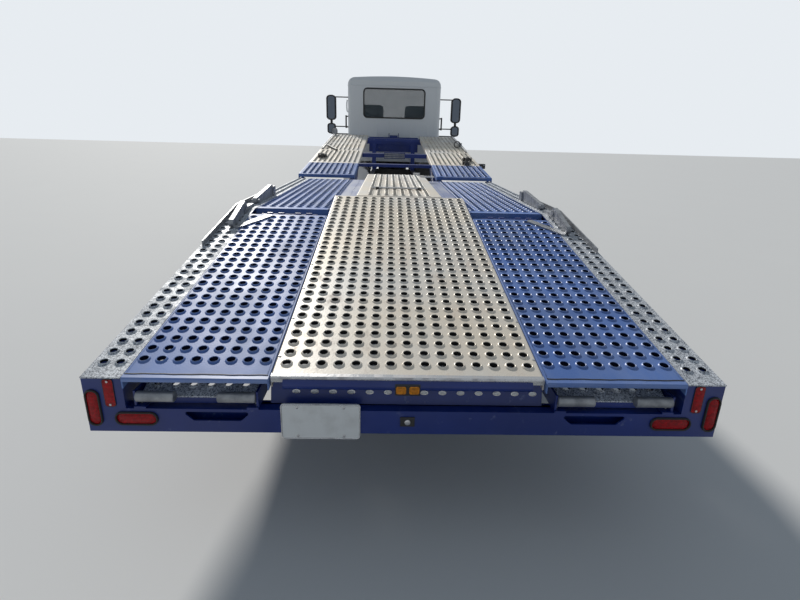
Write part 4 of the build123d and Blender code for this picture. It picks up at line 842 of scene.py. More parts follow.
def tail_deck():
    """Tail tracks each side with a welded rear lip, and the level tracks beyond the hinge gap.

    The weld is a thin tube whose distance wanders as the sum of two sines of x.
    """
    start = 0.008
    lip = [(-0.001, -0.017), (-0.004, -0.012), (-0.004, -0.003), (0, 0.0015), (0.022, 0.0018),
           (0.022, -0.0002), (0.004, -0.002), (0.003, -0.017)]
    finishes = ("track_paint", "gasket")
    for side, label in SIDES:
        x0, x1 = sorted((side * TRACK_IN, side * TRACK_OUT))
        holes = cells(8, side * (TRACK_IN + TRACK_OUT) / 2, 0.995)
        shell = Shell()
        rows = row_places(start + 0.035, TAIL_TRACK_END - 0.012) + 0.018
        folded_sheet(shell, x0, x1, start, TAIL_TRACK_END, tail_line, FLANGE, holes, rows)
        rear_lip(shell, x0 + 0.002, x1 - 0.002, start, lip, 0, 0.55)
        x = np.linspace(x0 + INSET, x1 - INSET, 60)
        run = start + 0.0235 + 0.0010 * np.sin(31 * x) + 0.0006 * np.sin(87 * x)
        shell.add(*tube(np.stack([x, at(run), tail_line(run) + 0.0006], -1), 0.0036, 6), 1)
        piece(f"tail_track_{label}", shell, finishes, "chassis", ("tail_tracks",))
        shell = Shell()
        folded_sheet(shell, x0, x1, TAIL, MID_END, level(DECK), FLANGE, holes,
                     row_places(TAIL + 0.035, MID_END - 0.012))
        shell.add(*boxes([(x0 + INSET, x1 - INSET, TAIL, TAIL + PLATE, DECK - FLANGE, DECK - INSET)]), 0)
        piece(f"level_track_{label}", shell, finishes, "chassis", ("mid_tracks",))


def centre_deck():
    """Wide tan panel, its bright rear lip, and the bolts along its edges."""
    shell, start = Shell(), 0.030
    rows = np.arange(0.112, PANEL_END - 0.045, sizes().row_pitch)
    folded_sheet(shell, -CENTRE, CENTRE, start, PANEL_END, tail_line, FLANGE, cells(15, 0), rows)
    lip = [(-0.005, -0.022), (-0.006, -0.004), (-0.002, 0.0016), (0.016, 0.0018), (0.016, -0.0002),
           (0.001, -0.004), (0.0, -0.022)]
    rear_lip(shell, -CENTRE + 0.001, CENTRE - 0.001, start, lip, 1)
    piece("centre_panel_plate", shell, ("tan_plate", "bare_edge"), "chassis", ("centre_panel",))
    bolts, spacing = Shell(), 0.3012
    spots = [(sx * (CENTRE - 0.010), d) for sx in (-1, 1) for d in np.arange(0.16, PANEL_END - 0.05, spacing)]
    bolts.add(*studs(spots, facing_up(tail_line), 0.006, 0.003))
    piece("centre_panel_bolts", bolts, ("bare_edge",))


def flap_deck():
    """Narrow raised flap: perforated, with its stop bar on two small brackets and a tab at the front."""
    shell = Shell()
    folded_sheet(shell, -FLAP_HALF, FLAP_HALF, FLAP_START, FLAP_END, level(FLAP_HEIGHT), 0.11, cells(8, 0),
                 row_places(FLAP_START + 0.02, FLAP_END - 0.02))
    stop = FLAP_START + 0.48
    bar = rounded(0.022, 0.016, 0.005, 3, (stop + 0.011, FLAP_HEIGHT + 0.016))
    shell.add(*extruded(bar, facing_side(-0.235), 0, 0.47), 1)
    for x in (-0.19, 0.19):
        shell.add(*boxes([(x - 0.014, x + 0.014, stop - 0.010, stop + 0.032, FLAP_HEIGHT - 0.001,
                           FLAP_HEIGHT + 0.024)]), 2)
    tab = [(0.22, 0.30, FLAP_END - 0.03, FLAP_END - 0.002, FLAP_HEIGHT, FLAP_HEIGHT + 0.03)]
    hinge = [(0.29, 0.46, d, d + 0.022, FLAP_HEIGHT, FLAP_HEIGHT + 0.007) for d in (4.40, 4.46, 4.52, 4.58)]
    shell.add(*boxes(tab + hinge), 1)
    piece("centre_flap_plate", shell, ("tan_plate", "bare_edge", "black_plastic"), "chassis",
          ("centre_flap",))


def edge_deck():
    """Zinc strip along each side of the deck, two holes wide, up the tail and over the level part."""
    for side, label in SIDES:
        shell = Shell()
        x0, x1 = sorted((side * (TRACK_OUT + 0.0005), side * HALF))
        holes = cells(2, side * (TRACK_OUT + HALF) / 2, 0.94)
        for d0, d1, height in ((0.008, TAIL, tail_line), (TAIL, MID_END, level(DECK))):
            perforated(shell, x0, x1, d0, d1, height, holes, row_places(d0 + 0.03, d1 - 0.01), 0, 0.88)
        piece(f"edge_strip_{label}", shell, ("galvanised",), "chassis", ("edge_strips",))


def front_deck_tracks():
    """Raised front tracks: blue to the first seam and bare beyond it, with lugs, pins and end folds."""
    hinge, lift_eye = 4.790, 7.400
    seams = (FRONT_START, 5.63, 6.86, 7.73, FRONT_END)
    lugs = [(x, hinge, 0.025, 1.05, 0.020) for x in (0.560, 1.170)]
    lugs += [(x, lift_eye, 0.028, 1.302, 0.012) for x in (0.609, 0.671)]
    pin = [(-0.042, 0.0), (-0.042, 0.013), (-0.040, 0.015), (0.040, 0.015), (0.042, 0.013), (0.042, 0.0)]
    for side, label in SIDES:
        shell = Shell()
        x0, x1 = sorted((side * FRONT_IN, side * HALF))
        for index, (d0, d1) in enumerate(zip(seams, seams[1:])):
            gap, shift = (0 if index == 0 else 0.0015), (0 if index < 2 else side * 0.028)
            folded_sheet(shell, x0, x1, d0 + gap, d1, front_deck, 0.06, cells(9, (x0 + x1) / 2 + shift, 1.05),
                         row_places(d0 + 0.02, d1 - 0.012), min(index, 1))
        for d, depth in ((FRONT_START, 0.04), (FRONT_END - PLATE, 0.06)):
            low, high = on_track(d, -depth), on_track(d, -INSET)
            shell.add(*boxes([(x0 + INSET, x1 - INSET, d, d + PLATE, low, high)]), 0)
        for x, middle, reach, foot, thick in lugs:
            near, far = middle - reach, middle + reach
            plate = [(near, foot), (far, foot), (far, on_track(far, -0.004)), (near, on_track(near, -0.004))]
            shell.add(*extruded(softened(plate, 0.012), facing_side(side * x - thick / 2), 0, thick), 0)
        shell.add(*turned(pin, 20, (side * 0.640, at(lift_eye), 1.3302), (1, 0, 0), False), 2)
        piece(f"front_track_{label}", shell, ("track_paint", "tan_plate", "bare_edge"), "front_deck",
              ("front_tracks",))


def ramp_plates():
    """Stowed ramps of zinc plate, perforated like the deck, with rungs, a sloping nose and two tube ends."""
    floor, top = TAIL_EDGE - 0.122, TAIL_EDGE - 0.040
    start, bend, end = 0.04, 0.16, 1.90
    half = [(0.069, 0.021), (0.072, 0.018), (0.072, 0.012)]
    tube_end = [(-along, radius) for along, radius in half[::-1]] + half

    def nose(distance):
        """Height of the nose, which falls from the bend to the rear."""
        return top - 0.42 * (bend - np.asarray(distance))
    for side, label in SIDES:
        shell = Shell()
        x0, x1 = sorted((side * 0.585, side * 1.025))
        holes = cells(6, (x0 + x1) / 2)
        folded_sheet(shell, x0, x1, bend, end, level(top), top - floor - 0.0003, holes,
                     row_places(bend + 0.01, end - 0.02))
        folded_sheet(shell, x0, x1, start, bend, nose, 0.012, holes, np.array([0.1]))
        cheek = [(start, floor), (bend, floor), (bend, top - 0.011), (start, nose(start) - 0.011)]
        for x in (x0 + 0.0003, x1 - 0.0053):
            shell.add(*extruded(cheek, facing_side(x), 0, PLATE), 0)
        inside = x0 + PLATE, x1 - PLATE
        shell.add(*boxes([(*inside, start + 0.002, start + 0.007, floor + 0.001, nose(start) - 0.004)]), 2)
        for d in (0.475, 0.95, 1.425):
            shell.add(*boxes([(*inside, d, d + 0.03, top - 0.040, top - PLATE)]), 0)
        for x in (0.652, 0.958):
            shell.add(*turned(tube_end, 24, (side * x, at(0.024), floor + 0.038), (1, 0, 0)), 1)
        piece(f"ramp_plate_{label}", shell, ("galvanised", "plain_galvanised", "blue_paint"), f"ramp_{label}",
              (f"ramp_{label}",))


def headboard_hooks():
    """Two half-round hooks on the headboard, and the screws of the slatted box below them."""
    shell = Shell()
    board, middle, top = 9.09, 9.12, FRONT_LOW + FRONT_RISE - 0.03
    bend, radius = np.linspace(0, pi, 12), 0.022
    for x in (-0.096, 0.096):
        hook = np.stack([np.full(12, x), at(middle) + radius * np.cos(bend),
                         top + 0.055 + radius * np.sin(bend)], -1)
        shell.add(*tube(hook, 0.006, 8))
    spots = [(x, z) for x in (-0.44, 0.44) for z in (top - 0.06, top - 0.24)]
    shell.add(*studs(spots, facing_rear(board), 0.010, 0.007))
    piece("headboard_hooks", shell, ("frame_black",))


def slats():
    """Three slats across the box between the raised tracks."""
    shell = Shell()
    box = on_track(6.7, -0.080)
    shell.add(*boxes([(-0.162, 0.162, 6.647, 6.653, box + step, box + step + 0.018)
                      for step in (0, 0.028, 0.056)]))
    piece("slats", shell, ("plain_galvanised",), "front_deck", bevel=0.0015)


def track_gear():
    """Chain heaps, a strap, a lever, a ring, rails, a round stop and brackets on the raised tracks."""
    shell = Shell()
    black, webbing, zinc = 0, 1, 2
    for x, d, size in ((-1.09, 6.10, 1.0), (1.07, 6.02, 1.1), (1.02, 5.74, 0.8)):
        shell.add(*heap(x, d, 0.085 * size), black)
        shell.add(*boxes([(x - 0.03, x + 0.03, d - 0.13, d - 0.05, on_track(d, 0.002),
                           on_track(d, 0.040 * size))]), black)
    run = np.linspace(6.15, 7.75, 16)
    middle = 1.085 + 0.075 * (run - run[0]) / 1.6
    strap = np.stack([middle, at(run), front_deck(run) + 0.012 + 0.006 * np.sin(7 * run)], -1)
    shell.add(*ribbon(strap, 0.025), webbing)
    lever = [(-1.15, at(7.29), on_track(7.29, 0.022)), (-0.93, at(6.74), on_track(6.74, 0.022))]
    shell.add(*tube(lever, 0.015, 10), black)
    turn = np.linspace(0, 2 * pi, 25)
    ring = np.stack([1.105 + 0.052 * np.cos(turn), np.full(25, at(7.46)), on_track(7.46, 0.060)
                     + 0.052 * np.sin(turn)], -1)
    shell.add(*tube(ring, 0.008, 8), black)
    run, rise = np.array([(6.92, 0.004), (6.96, 0.032), (7.30, 0.034), (8.70, 0.034), (8.96, 0.032),
                          (9.00, 0.004)]).T
    for x in (-1.196, -1.168, 1.196, 1.168):
        rail = np.column_stack([np.full(6, x), at(run), front_deck(run) + rise])
        shell.add(*tube(rail, 0.0055, 8), zinc)
    stop = rounded(0.105, 0.13, 0.05, 6, (-1.195, on_track(8.97, 0.068)))
    shell.add(*extruded(stop, facing_rear(8.97), 0, 0.012), zinc)
    edge = [(0.0, -0.003), (0.0, 0.015), (0.006, 0.015), (0.006, -0.003)]
    shell.add(*bead(stop, edge, facing_rear(8.97)), black)
    shell.add(*boxes([(1.175, 1.215, 7.66, 7.78, on_track(7.72), on_track(7.72, 0.055))]), zinc)
    shell.add(*boxes([(1.206, 1.290, 5.66, 5.78, on_track(5.70, -0.045), on_track(5.70, 0.020))]), black)
    bolts = [(1.270, on_track(5.70, 0.004)), (1.235, on_track(5.70, -0.020))]
    shell.add(*studs(bolts, facing_rear(5.66), 0.012, 0.010), zinc)
    piece("front_track_gear", shell, ("frame_black", "strap_webbing", "plain_galvanised"), "front_deck",
          bevel=0.002)


def heap(x, d, size):
    """A loose coil of chain on the track: rings that wander up and down as they go round."""
    t = np.linspace(0, 10 * pi, 180)
    reach = size * (0.62 + 0.30 * np.sin(1.7 * t) * np.cos(0.6 * t))
    rise = size * (0.16 + 0.055 * t / pi / 1.6) + 0.012 * np.sin(5.3 * t)
    path = np.stack([x + 0.9 * reach * np.cos(t), at(d) + 1.3 * reach * np.sin(t), front_deck(d) + rise], -1)
    return tube(path, 0.009, 8)


def ribbon(path, half):
    """A strap 2 mm thick that lies along a path, half of its width to each side in X."""
    corners = np.array([(-half, 0.0, 0.0), (half, 0.0, 0.0), (half, 0.0, 0.002), (-half, 0.0, 0.002)])
    return turn_out((path[:, None] + corners[None]).reshape(-1, 3), capped(len(path), 4))


def side_arm_fittings():
    """Pivot bolts and end rollers on the side arms, and bolts along the outer rails."""
    shell = Shell()
    for d, rise in ((1.64, 0.029), (1.935, 0.045), (2.27, 0.025), (2.79, 0.053)):
        shell.both(*studs([(d, deck(d) + rise)], facing_side(TRACK_OUT + 0.068), 0.013, 0.009), 0)
    spots = [(d, deck(d) + 0.02) for d in np.arange(1.4, 3.0, 0.32)]
    shell.both(*studs(spots, facing_side(HALF - 0.014), 0.008, 0.005), 0)
    piece("side_arm_bolts", shell, ("bare_edge",))


# Wheels
def tyre(shell, x, axle, notches, depth, cut_from):
    """A tyre from its (across, radius) profile turned about the axle.

    The tread's four grooves are in the profile. Cross cuts lower the radius by depth where the angle is in
    the last third of a notch and the point lies on the tread at least cut_from from the middle.
    """
    wall = [(0.094, 0.2862), (0.097, 0.2868), (0.108, 0.292), (0.113, 0.303), (0.114, 0.312), (0.118, 0.322),
            (0.1205, 0.337), (0.1195, 0.340), (0.1235, 0.345), (0.125, 0.368), (0.1248, 0.392),
            (0.1225, 0.410), (0.1215, 0.412), (0.120, 0.424), (0.114, 0.440), (0.105, 0.4515)]
    tread = [(0.098, 0.4560), (0.080, 0.4605), (0.0695, 0.4618), (0.0665, 0.449), (0.0575, 0.449),
             (0.0545, 0.4626), (0.040, 0.4635), (0.0265, 0.4638), (0.0235, 0.450), (0.0145, 0.450),
             (0.0115, 0.4640)]
    half = np.array(wall + tread)
    profile = np.concatenate([half, half[::-1] * (-1, 1)])
    across, height = np.abs(profile[:, 0]), profile[:, 1]
    phase = np.array([0.0, 0.60, 0.65, 0.95])
    a = ((np.arange(notches)[:, None] + phase) * 2 * pi / notches).ravel()
    cut = np.tile([0, 0, 1.0, 1.0], notches)
    reach = np.where((height > 0.4515) & (across > cut_from), 1.0, 0.0)
    reach = np.where((across > 0.104) & (across < 0.1145) & (height > 0.43), 0.6, reach)
    radius = np.minimum(height[None] - depth * cut[:, None] * reach[None], TYRE_RADIUS)
    a = a[:, None]
    points = np.stack([np.broadcast_to(x + profile[:, 0], radius.shape), at(axle) + radius * np.cos(a),
                       TYRE_RADIUS + radius * np.sin(a)], -1)
    wear = np.where(height[None] < 0.44, 0.85, np.clip((radius - 0.445) / 0.015, 0, 1)).ravel()
    shell.add(*turn_out(points.reshape(-1, 3), [quads(*radius.shape, True)]), 0, wear)


def tyres():
    """Ribbed front tyres with cuts on their shoulders, and twin rear tyres cut right across."""
    single, twins, shoulder = 1.010, (0.792, 1.082), 0.069
    for side, label in SIDES:
        front = Shell()
        tyre(front, side * single, FRONT_AXLE, 58, 0.006, shoulder)
        piece(f"front_tread_{label}", front, ("tyre_rubber",), f"front_wheel_{label}",
              (f"front_tyre_{label}",))
        rear = Shell()
        for x in twins:
            tyre(rear, side * x, REAR_AXLE, 52, 0.012, 0.0)
        piece(f"rear_treads_{label}", rear, ("tyre_rubber",), f"rear_wheels_{label}",
              (f"rear_tyres_{label}",))


def wheel_fittings():
    """Wheel nuts between the hand holes, hub caps with their bolts, and valve stems."""
    kinds = (("front", "wheel", FRONT_AXLE, 1.054, 1.115, 0.026),
             ("rear", "wheels", REAR_AXLE, 0.965, 1.041, 0.030))
    nut_circle, bolt_circle = 0.167, 0.060

    def round_axle(axle, radius, count, start=0.0):
        """Places on a circle round the axle, the first one straight up plus start."""
        return circle(count, start)[:, ::-1] * radius + (axle, TYRE_RADIUS)
    for side, label in SIDES:
        for kind, body, axle, face, hub, cap in kinds:
            shell = Shell()
            nuts = round_axle(axle, nut_circle, 10, radians(18))
            shell.on(side, *studs(nuts, facing_side(face), 0.013, 0.022), 0)
            rings = [(0.0, 0.0), (0, 0.058), (0.004, 0.070), (0.010, 0.070), (0.012, 0.052),
                     (cap - 0.004, 0.048), (cap, 0.040), (cap, 0.0)]
            shell.on(side, *turned(rings, 32, (hub, at(axle), TYRE_RADIUS), (1, 0, 0), False), 1)
            bolts = round_axle(axle, bolt_circle, 8)
            shell.on(side, *studs(bolts, facing_side(hub + 0.010), 0.006, 0.005), 0)
            stem = [(face + out, at(axle) + ahead, TYRE_RADIUS)
                    for out, ahead in ((-0.004, 0.235), (0.03, 0.232), (0.055, 0.226))]
            shell.on(side, *tube(stem, 0.004, 8), 0)
            piece(f"{kind}_wheel_nuts_{label}", shell, ("bare_edge", "frame_black"), f"{kind}_{body}_{label}")


# Rear face
def rear_lamps():
    """Domed oval lamps in rubber grommets, and flat reflectors with two screws."""
    shell = Shell()
    red, rubber, bright = 0, 1, 2
    grommet = [(-0.001, 0.0), (-0.001, 0.006), (0.001, 0.0085), (0.004, 0.0085), (0.006, 0.005), (0.006, 0.0)]
    for x, z, wide, high in ((1.188, 0.632, 0.056, 0.154), (1.034, 0.588, 0.163, 0.058)):
        outline = rounded(wide - 0.012, high - 0.012, min(wide, high) / 2 - 0.0065, 6, (x, z))
        shell.both(*dome(outline, 0.009, facing_rear(0.0115), 6), red)
        shell.both(*bead(outline, grommet, facing_rear(0.0118)), rubber)
    middle = (1.122, 0.696)
    shell.both(*dome(rounded(0.038, 0.114, 0.009, 4, middle), 0.0025, facing_rear(0.0085), 3), red)
    shell.both(*extruded(rounded(0.040, 0.116, 0.010, 4, middle), facing_rear(0.0118), 0.0, 0.0035), rubber)
    screws = [(middle[0], middle[1] + rise) for rise in (0.048, -0.048)]
    shell.both(*studs(screws, facing_rear(0.0065), 0.005, 0.002), bright)
    piece("rear_lamps", shell, ("red_lens", "gasket", "bare_edge"), "chassis", ("tail_lamps",))


def rear_face_trim():
    """Plate rim and screws, and the row of punched holes with rolled rims in the lip under the panel."""
    shell = Shell()
    plate = (-0.334, TAIL_EDGE - 0.176)
    rim = [(-0.002, 0.0), (-0.001, 0.0022), (0.001, 0.0030), (0.003, 0.0018), (0.003, 0.0)]
    shell.add(*bead(rounded(0.299, 0.146, 0.012, 5, plate), rim, facing_rear(0.0062)), 0)
    screws = [(plate[0] + sx * 0.089, plate[1] + sz * 0.062) for sx in (-1, 1) for sz in (-1, 1)]
    shell.add(*studs(screws, facing_rear(0.006), 0.006, 0.003), 0)
    lip_middle, lip_run, lip_fall = (0, 0.0770, 0.676), 0.028, 0.101
    slope = tilted(lip_middle, -atan2(lip_run, lip_fall))

    def into(u, v, w):
        """The lip's face, with w into it."""
        return slope(u, v, -w)
    for x in centred(14, 0.0718, 0.0305):
        ring = circle(14) * (0.0125, 0.0055) + (x, 0)
        shell.add(*bead(ring, [(-0.001, 0.0), (0.0, 0.0020), (0.003, 0.0015), (0.004, 0.0)], into), 0)
        # A pale disc in each hole: painted light showing through it.
        shell.add(*dome(ring, 0.0012, into, 2), 1)
    piece("rear_face_trim", shell, ("bare_edge", "plate_white"))


def rear_latch():
    """Two small amber lamps on a box over the plate, and the latch with its round pin."""
    shell = Shell()
    black, amber, bright = 0, 1, 2
    shell.add(*boxes([(-0.051, 0.045, 0.004, 0.046, 0.702, 0.747)]), black)
    for x in (-0.028, 0.022):
        shell.add(*dome(rounded(0.040, 0.034, 0.008, 3, (x, 0.7245)), 0.003, facing_rear(0.004), 4), amber)
    shell.add(*boxes([(-0.028, 0.028, 0.006, 0.0122, 0.566, 0.606)]), black)
    pin = [(0, 0), (0, 0.012), (0.010, 0.012), (0.012, 0.009), (0.012, 0)]
    shell.add(*turned(pin, 16, (0.0, at(0.0125), 0.586), (0, -1, 0), False), bright)
    piece("rear_latch", shell, ("frame_black", "amber_lens", "bare_edge"), bevel=0.0015)


def rear_beam_web():
    """Folded web behind the rear beam."""
    shell = Shell()
    profile = [(0.0, 0.0), (0.0, 0.082), (0.030, 0.082), (0.030, 0.077), (0.005, 0.077), (0.005, 0.0)]
    shell.add(*extruded([(0.056 + d, 0.548 + z) for d, z in profile], facing_side(-1.05), 0, 2.10), 0)
    piece("rear_beam_web", shell, ("blue_paint",))


# Cab and hood
def window_rubber():
    """Rubber round the rear window and the windscreen, and the wipers on the windscreen."""
    section = [(-0.012, -0.004), (-0.012, 0.005), (-0.006, 0.009), (0.010, 0.009), (0.016, 0.005),
               (0.016, -0.004)]
    shell = Shell()
    rear = rounded(1.24, 0.55, 0.07, 8, (0, CAB_ROOF - 0.515))
    shell.add(*bead(rear, section, facing_rear(CAB_REAR)))
    top, foot = (CAB_FRONT - 0.47, CAB_ROOF - 0.06), (CAB_FRONT - 0.01, CAB_FLOOR + 0.69)
    run, fall = foot[0] - top[0], top[1] - foot[1]
    slant = sqrt(run * run + fall * fall)
    lay = tilted((0, (top[0] + foot[0]) / 2, (top[1] + foot[1]) / 2), atan2(run, fall))
    shell.add(*bead(rounded(1.64, slant - 0.15, 0.06, 8), section, lay))
    low = -slant / 2
    for x in (-0.12, 0.62):
        arm = np.array([(x - out, low + up, off)
                        for out, up, off in ((0, 0.050, 0.012), (0.16, 0.098, 0.030), (0.32, 0.146, 0.018))])
        blade = np.column_stack([np.linspace(x - 0.60, x - 0.06, 8),
                                 low + 0.146 + np.linspace(0.03, -0.03, 8), np.full(8, 0.008)])
        for line, radius, sides in ((arm, 0.007, 8), (blade, 0.008, 6)):
            shell.add(*tube(lay(*line.T), radius, sides))
    piece("window_rubber", shell, ("gasket",))


def door_rubber():
    """Rubber round each door's window, and the recess of its handle."""
    rear, front = CAB_REAR + 0.47, CAB_FRONT - 0.32
    window = softened([(rear, CAB_FLOOR + 0.80), (front, CAB_FLOOR + 0.80), (front - 0.22, CAB_ROOF - 0.28),
                       (rear, CAB_ROOF - 0.28)], 0.045, 5)
    rubber = [(-0.010, -0.004), (-0.010, 0.003), (-0.004, 0.006), (0.008, 0.006), (0.013, 0.003),
              (0.013, -0.004)]
    recess = rounded(0.20, 0.055, 0.02, 4, (CAB_REAR + 0.51, CAB_FLOOR + 0.705))
    rim = [(-0.004, 0.0), (-0.003, 0.002), (0.003, 0.002), (0.004, 0.0)]
    for side, label in SIDES:
        shell = Shell()
        for outline, section in ((window, rubber), (recess, rim)):
            shell.on(side, *bead(outline, section, facing_side(CAB_HALF)))
        piece(f"door_rubber_{label}", shell, ("gasket",), f"door_{label}")


def mirror_faces():
    """Mirror glass in a dark rim on each head, facing the rear, and a plate that joins the two heads."""
    d = CAB_FRONT - 0.520
    heads = ((0.152, MIRROR_HIGH - 0.498, MIRROR_HIGH - 0.022, 0.056),
             (0.128, MIRROR_HIGH - 0.788, MIRROR_HIGH - 0.612, 0.042))
    rim = [(0.0, 0.0), (0.0, 0.005), (0.005, 0.010), (0.020, 0.010), (0.027, 0.0)]
    for side, label in SIDES:
        shell = Shell()
        x = side * 1.400
        for width, low, high, corner in heads:
            outline = rounded(width, high - low, corner, 8, (x, (low + high) / 2))
            shell.add(*dome(outline, 0.002, facing_rear(d), 3, 0.0004), 0)
            shell.add(*bead(outline, rim, facing_rear(d)), 1)
        shell.add(*boxes([(x - 0.025, x + 0.025, d + 0.010, d + 0.055, MIRROR_HIGH - 0.60,
                           MIRROR_HIGH - 0.51)]), 1)
        piece(f"mirror_glass_{label}", shell, ("mirror_glass", "black_plastic"), f"door_{label}")


def cab_trim():
    """Roof seam, the grab bar beside the left door, rear wall swages and the screws below them."""
    shell = Shell()
    half, rear, front = CAB_HALF + 0.002, at(CAB_REAR) - 0.002, at(CAB_FRONT - 0.52)
    turn, corner = np.linspace(0, pi / 2, 7), CAB_CORNER
    bend = np.stack([half - corner + corner * np.sin(turn), rear + corner - corner * np.cos(turn)], -1)
    right = np.concatenate([[(0.3, rear)], bend, [(half, rear + 0.4), (half, front)]])
    seam = np.concatenate([right[::-1] * (-1, 1), right])
    seam_height = np.full(len(seam), CAB_ROOF - 0.186)
    shell.add(*tube(np.column_stack([seam, seam_height]), 0.007, 8), 0)
    rise, bar_middle, bar_half = np.linspace(0, pi, 12), 2.19, 0.12
    bar = np.stack([-half - 0.035 * np.sin(rise) ** 0.5, np.full(12, at(CAB_REAR + 0.20)),
                    bar_middle - bar_half * np.cos(rise)], -1)
    shell.add(*tube(bar, 0.014, 10), 0)
    for x in (-0.70, -0.35, 0.0, 0.35, 0.70):
        swage = rounded(0.05, 0.66, 0.024, 5, (x, CAB_FLOOR + 0.43))
        shell.add(*dome(swage, 0.008, facing_rear(CAB_REAR + 0.001), 4), 0)
    spots = [(x, CAB_FLOOR + 0.05) for x in np.arange(-0.85, 0.9, 0.17)]
    shell.add(*studs(spots, facing_rear(CAB_REAR), 0.006, 0.003), 1)
    piece("cab_trim", shell, ("white_paint", "bare_edge"))


def ribs(x0, x1, near, far, foot, thick):
    """Anti-slip ribs across a step, one every 30 mm."""
    return [(x0, x1, d, d + 0.012, foot, foot + thick) for d in np.arange(near, far, 0.03)]


def step_treads():
    """Ribs on the two steps of the tool box, its two hinges, and the ribbed plate over the fuel tank."""
    shell = Shell()
    x0, x1, out = 1.065, 1.148, 1.055
    near, far = CAB_REAR + 0.41, CAB_REAR + 0.89
    upper, lower = 0.791, 0.491
    shell.add(*boxes(ribs(x0, x1, near, far, upper, 0.004) + ribs(x0, x1, near, far, lower, 0.004)))
    shell.add(*boxes([(out, out + 0.011, CAB_REAR + d, CAB_REAR + d + 0.06, 0.84, 0.90)
                      for d in (0.15, 0.85)]))
    tank, foot, top = (-0.90, -0.64), 0.984, 0.992
    shell.add(*boxes(ribs(*tank, CAB_REAR + 0.3, CAB_REAR + 0.8, top, 0.006)
                     + [(*tank, CAB_REAR + 0.29, CAB_REAR + 0.80, foot, top)]))
    piece("step_treads", shell, ("bare_edge",))


def hood_trim():
    """Grille surround and mesh, lamp bezels and glass, and side lamps on the tilting hood."""
    shell = Shell()
    plastic, mesh, clear, amber = 0, 1, 2, 3
    nose, flank = LENGTH - 0.080, 1.163
    surround = [(-0.022, -0.004), (-0.022, 0.012), (-0.008, 0.020), (0.012, 0.016), (0.018, -0.004)]
    shell.add(*bead(rounded(0.90, 0.44, 0.03, 5, (0, 1.10)), surround, facing_front(nose)), plastic)
    mouth = (0.905, 1.295)
    shell.add(*boxes([(-0.425, 0.425, nose - 0.028, nose - 0.024, *mouth)]), mesh)
    bars = [(x, x + 0.004, nose - 0.022, nose - 0.018, *mouth) for x in np.arange(-0.42, 0.42, 0.03)]
    shell.add(*boxes(bars), mesh)
    bezel = [(-0.004, 0.010), (-0.004, 0.018), (0.004, 0.022), (0.016, 0.018), (0.018, 0.002)]
    lamp, side_lamp = rounded(0.286, 0.126, 0.03, 5), rounded(0.13, 0.05, 0.022, 5, (LENGTH - 0.36, 1.08))
    ring = [(0.0, 0.0), (0.0, 0.005), (0.005, 0.006), (0.008, 0.0)]
    (ahead, low), (back, high) = (0.090, 0.900), (0.200, 1.120)
    lamp_face = (LENGTH - (ahead + back) / 2, (low + high) / 2)
    for side in (1, -1):
        lay = tilted((side * 0.8225, *lamp_face), atan2(back - ahead, high - low))
        shell.add(*bead(lamp, bezel, lay), plastic)
        shell.add(*dome(lamp, 0.010, lay, 5, 0.012), clear)
        shell.on(side, *dome(side_lamp, 0.008, facing_side(flank), 4), amber)
        shell.on(side, *bead(side_lamp, ring, facing_side(flank)), plastic)
    piece("hood_trim", shell, ("black_plastic", "frame_black", "clear_lens", "amber_lens"), "hood")


def pad(width, depth, height, centre, tilt):
    """A crowned cushion: a superellipsoid |x|^n + |y|^n + |z|^m = 1 with drawn-in sides and channels on top.

    x, y and z come from two angles, each sine and cosine raised to 2/n with its sign kept; the top is then
    lowered by a shallow step at every third of the width, and the whole is tilted about X.
    """
    rows, columns, bulge = 28, 56, 0.012
    v = np.linspace(-pi / 2, pi / 2, rows)[:, None]
    u = np.linspace(0, 2 * pi, columns, endpoint=False)[None]

    def power(value, exponent):
        return np.sign(value) * np.abs(value) ** exponent
    x = power(np.cos(v), 0.32) * power(np.cos(u), 0.28)
    y = power(np.cos(v), 0.32) * power(np.sin(u), 0.28)
    z = power(np.sin(v), 0.42) * np.ones_like(u)
    z = z - 0.06 * (np.abs(np.sin(3 * pi * x / 1.1)) < 0.22) * np.clip(z, 0, 1) * (np.abs(x) < 0.75)
    points = np.stack([x * width / 2, y * depth / 2, z * (height / 2 - bulge * (1 - z ** 2))], -1)
    c, s = cos(tilt), sin(tilt)
    turn = np.array([(1, 0, 0), (0, c, -s), (0, s, c)])
    points = points.reshape(-1, 3) @ turn.T + np.array([centre[0], at(centre[1]), centre[2]])
    return turn_out(points, [quads(rows, columns)])


def seat_pads():
    """Two cloth seats: crowned cushion and leaning back on a boxed base."""
    base, apart = [], 0.45
    for side, label in SIDES:
        x = side * apart
        cloth = Shell()
        cloth.add(*pad(0.49, 0.54, 0.135, (x, 9.775, CAB_FLOOR + 0.42), 0.0))
        cloth.add(*pad(0.46, 0.62, 0.120, (x, 9.433, CAB_FLOOR + 0.81), radians(97)))
        cushion = piece(f"seat_cloth_{label}", cloth, ("seat_cloth",), "chassis", ("seats",),
                        60)
    for x in (-apart, apart):
        base += [(x - 0.20, x + 0.20, 9.56, 10.00, CAB_FLOOR + 0.04, CAB_FLOOR + 0.355),
                 (x - 0.22, x + 0.22, 9.42, 9.55, CAB_FLOOR + 0.36, CAB_FLOOR + 0.47)]
    shell = Shell()
    shell.add(*boxes(base))
    piece("seat_bases", shell, ("black_plastic",), bevel=0.008)


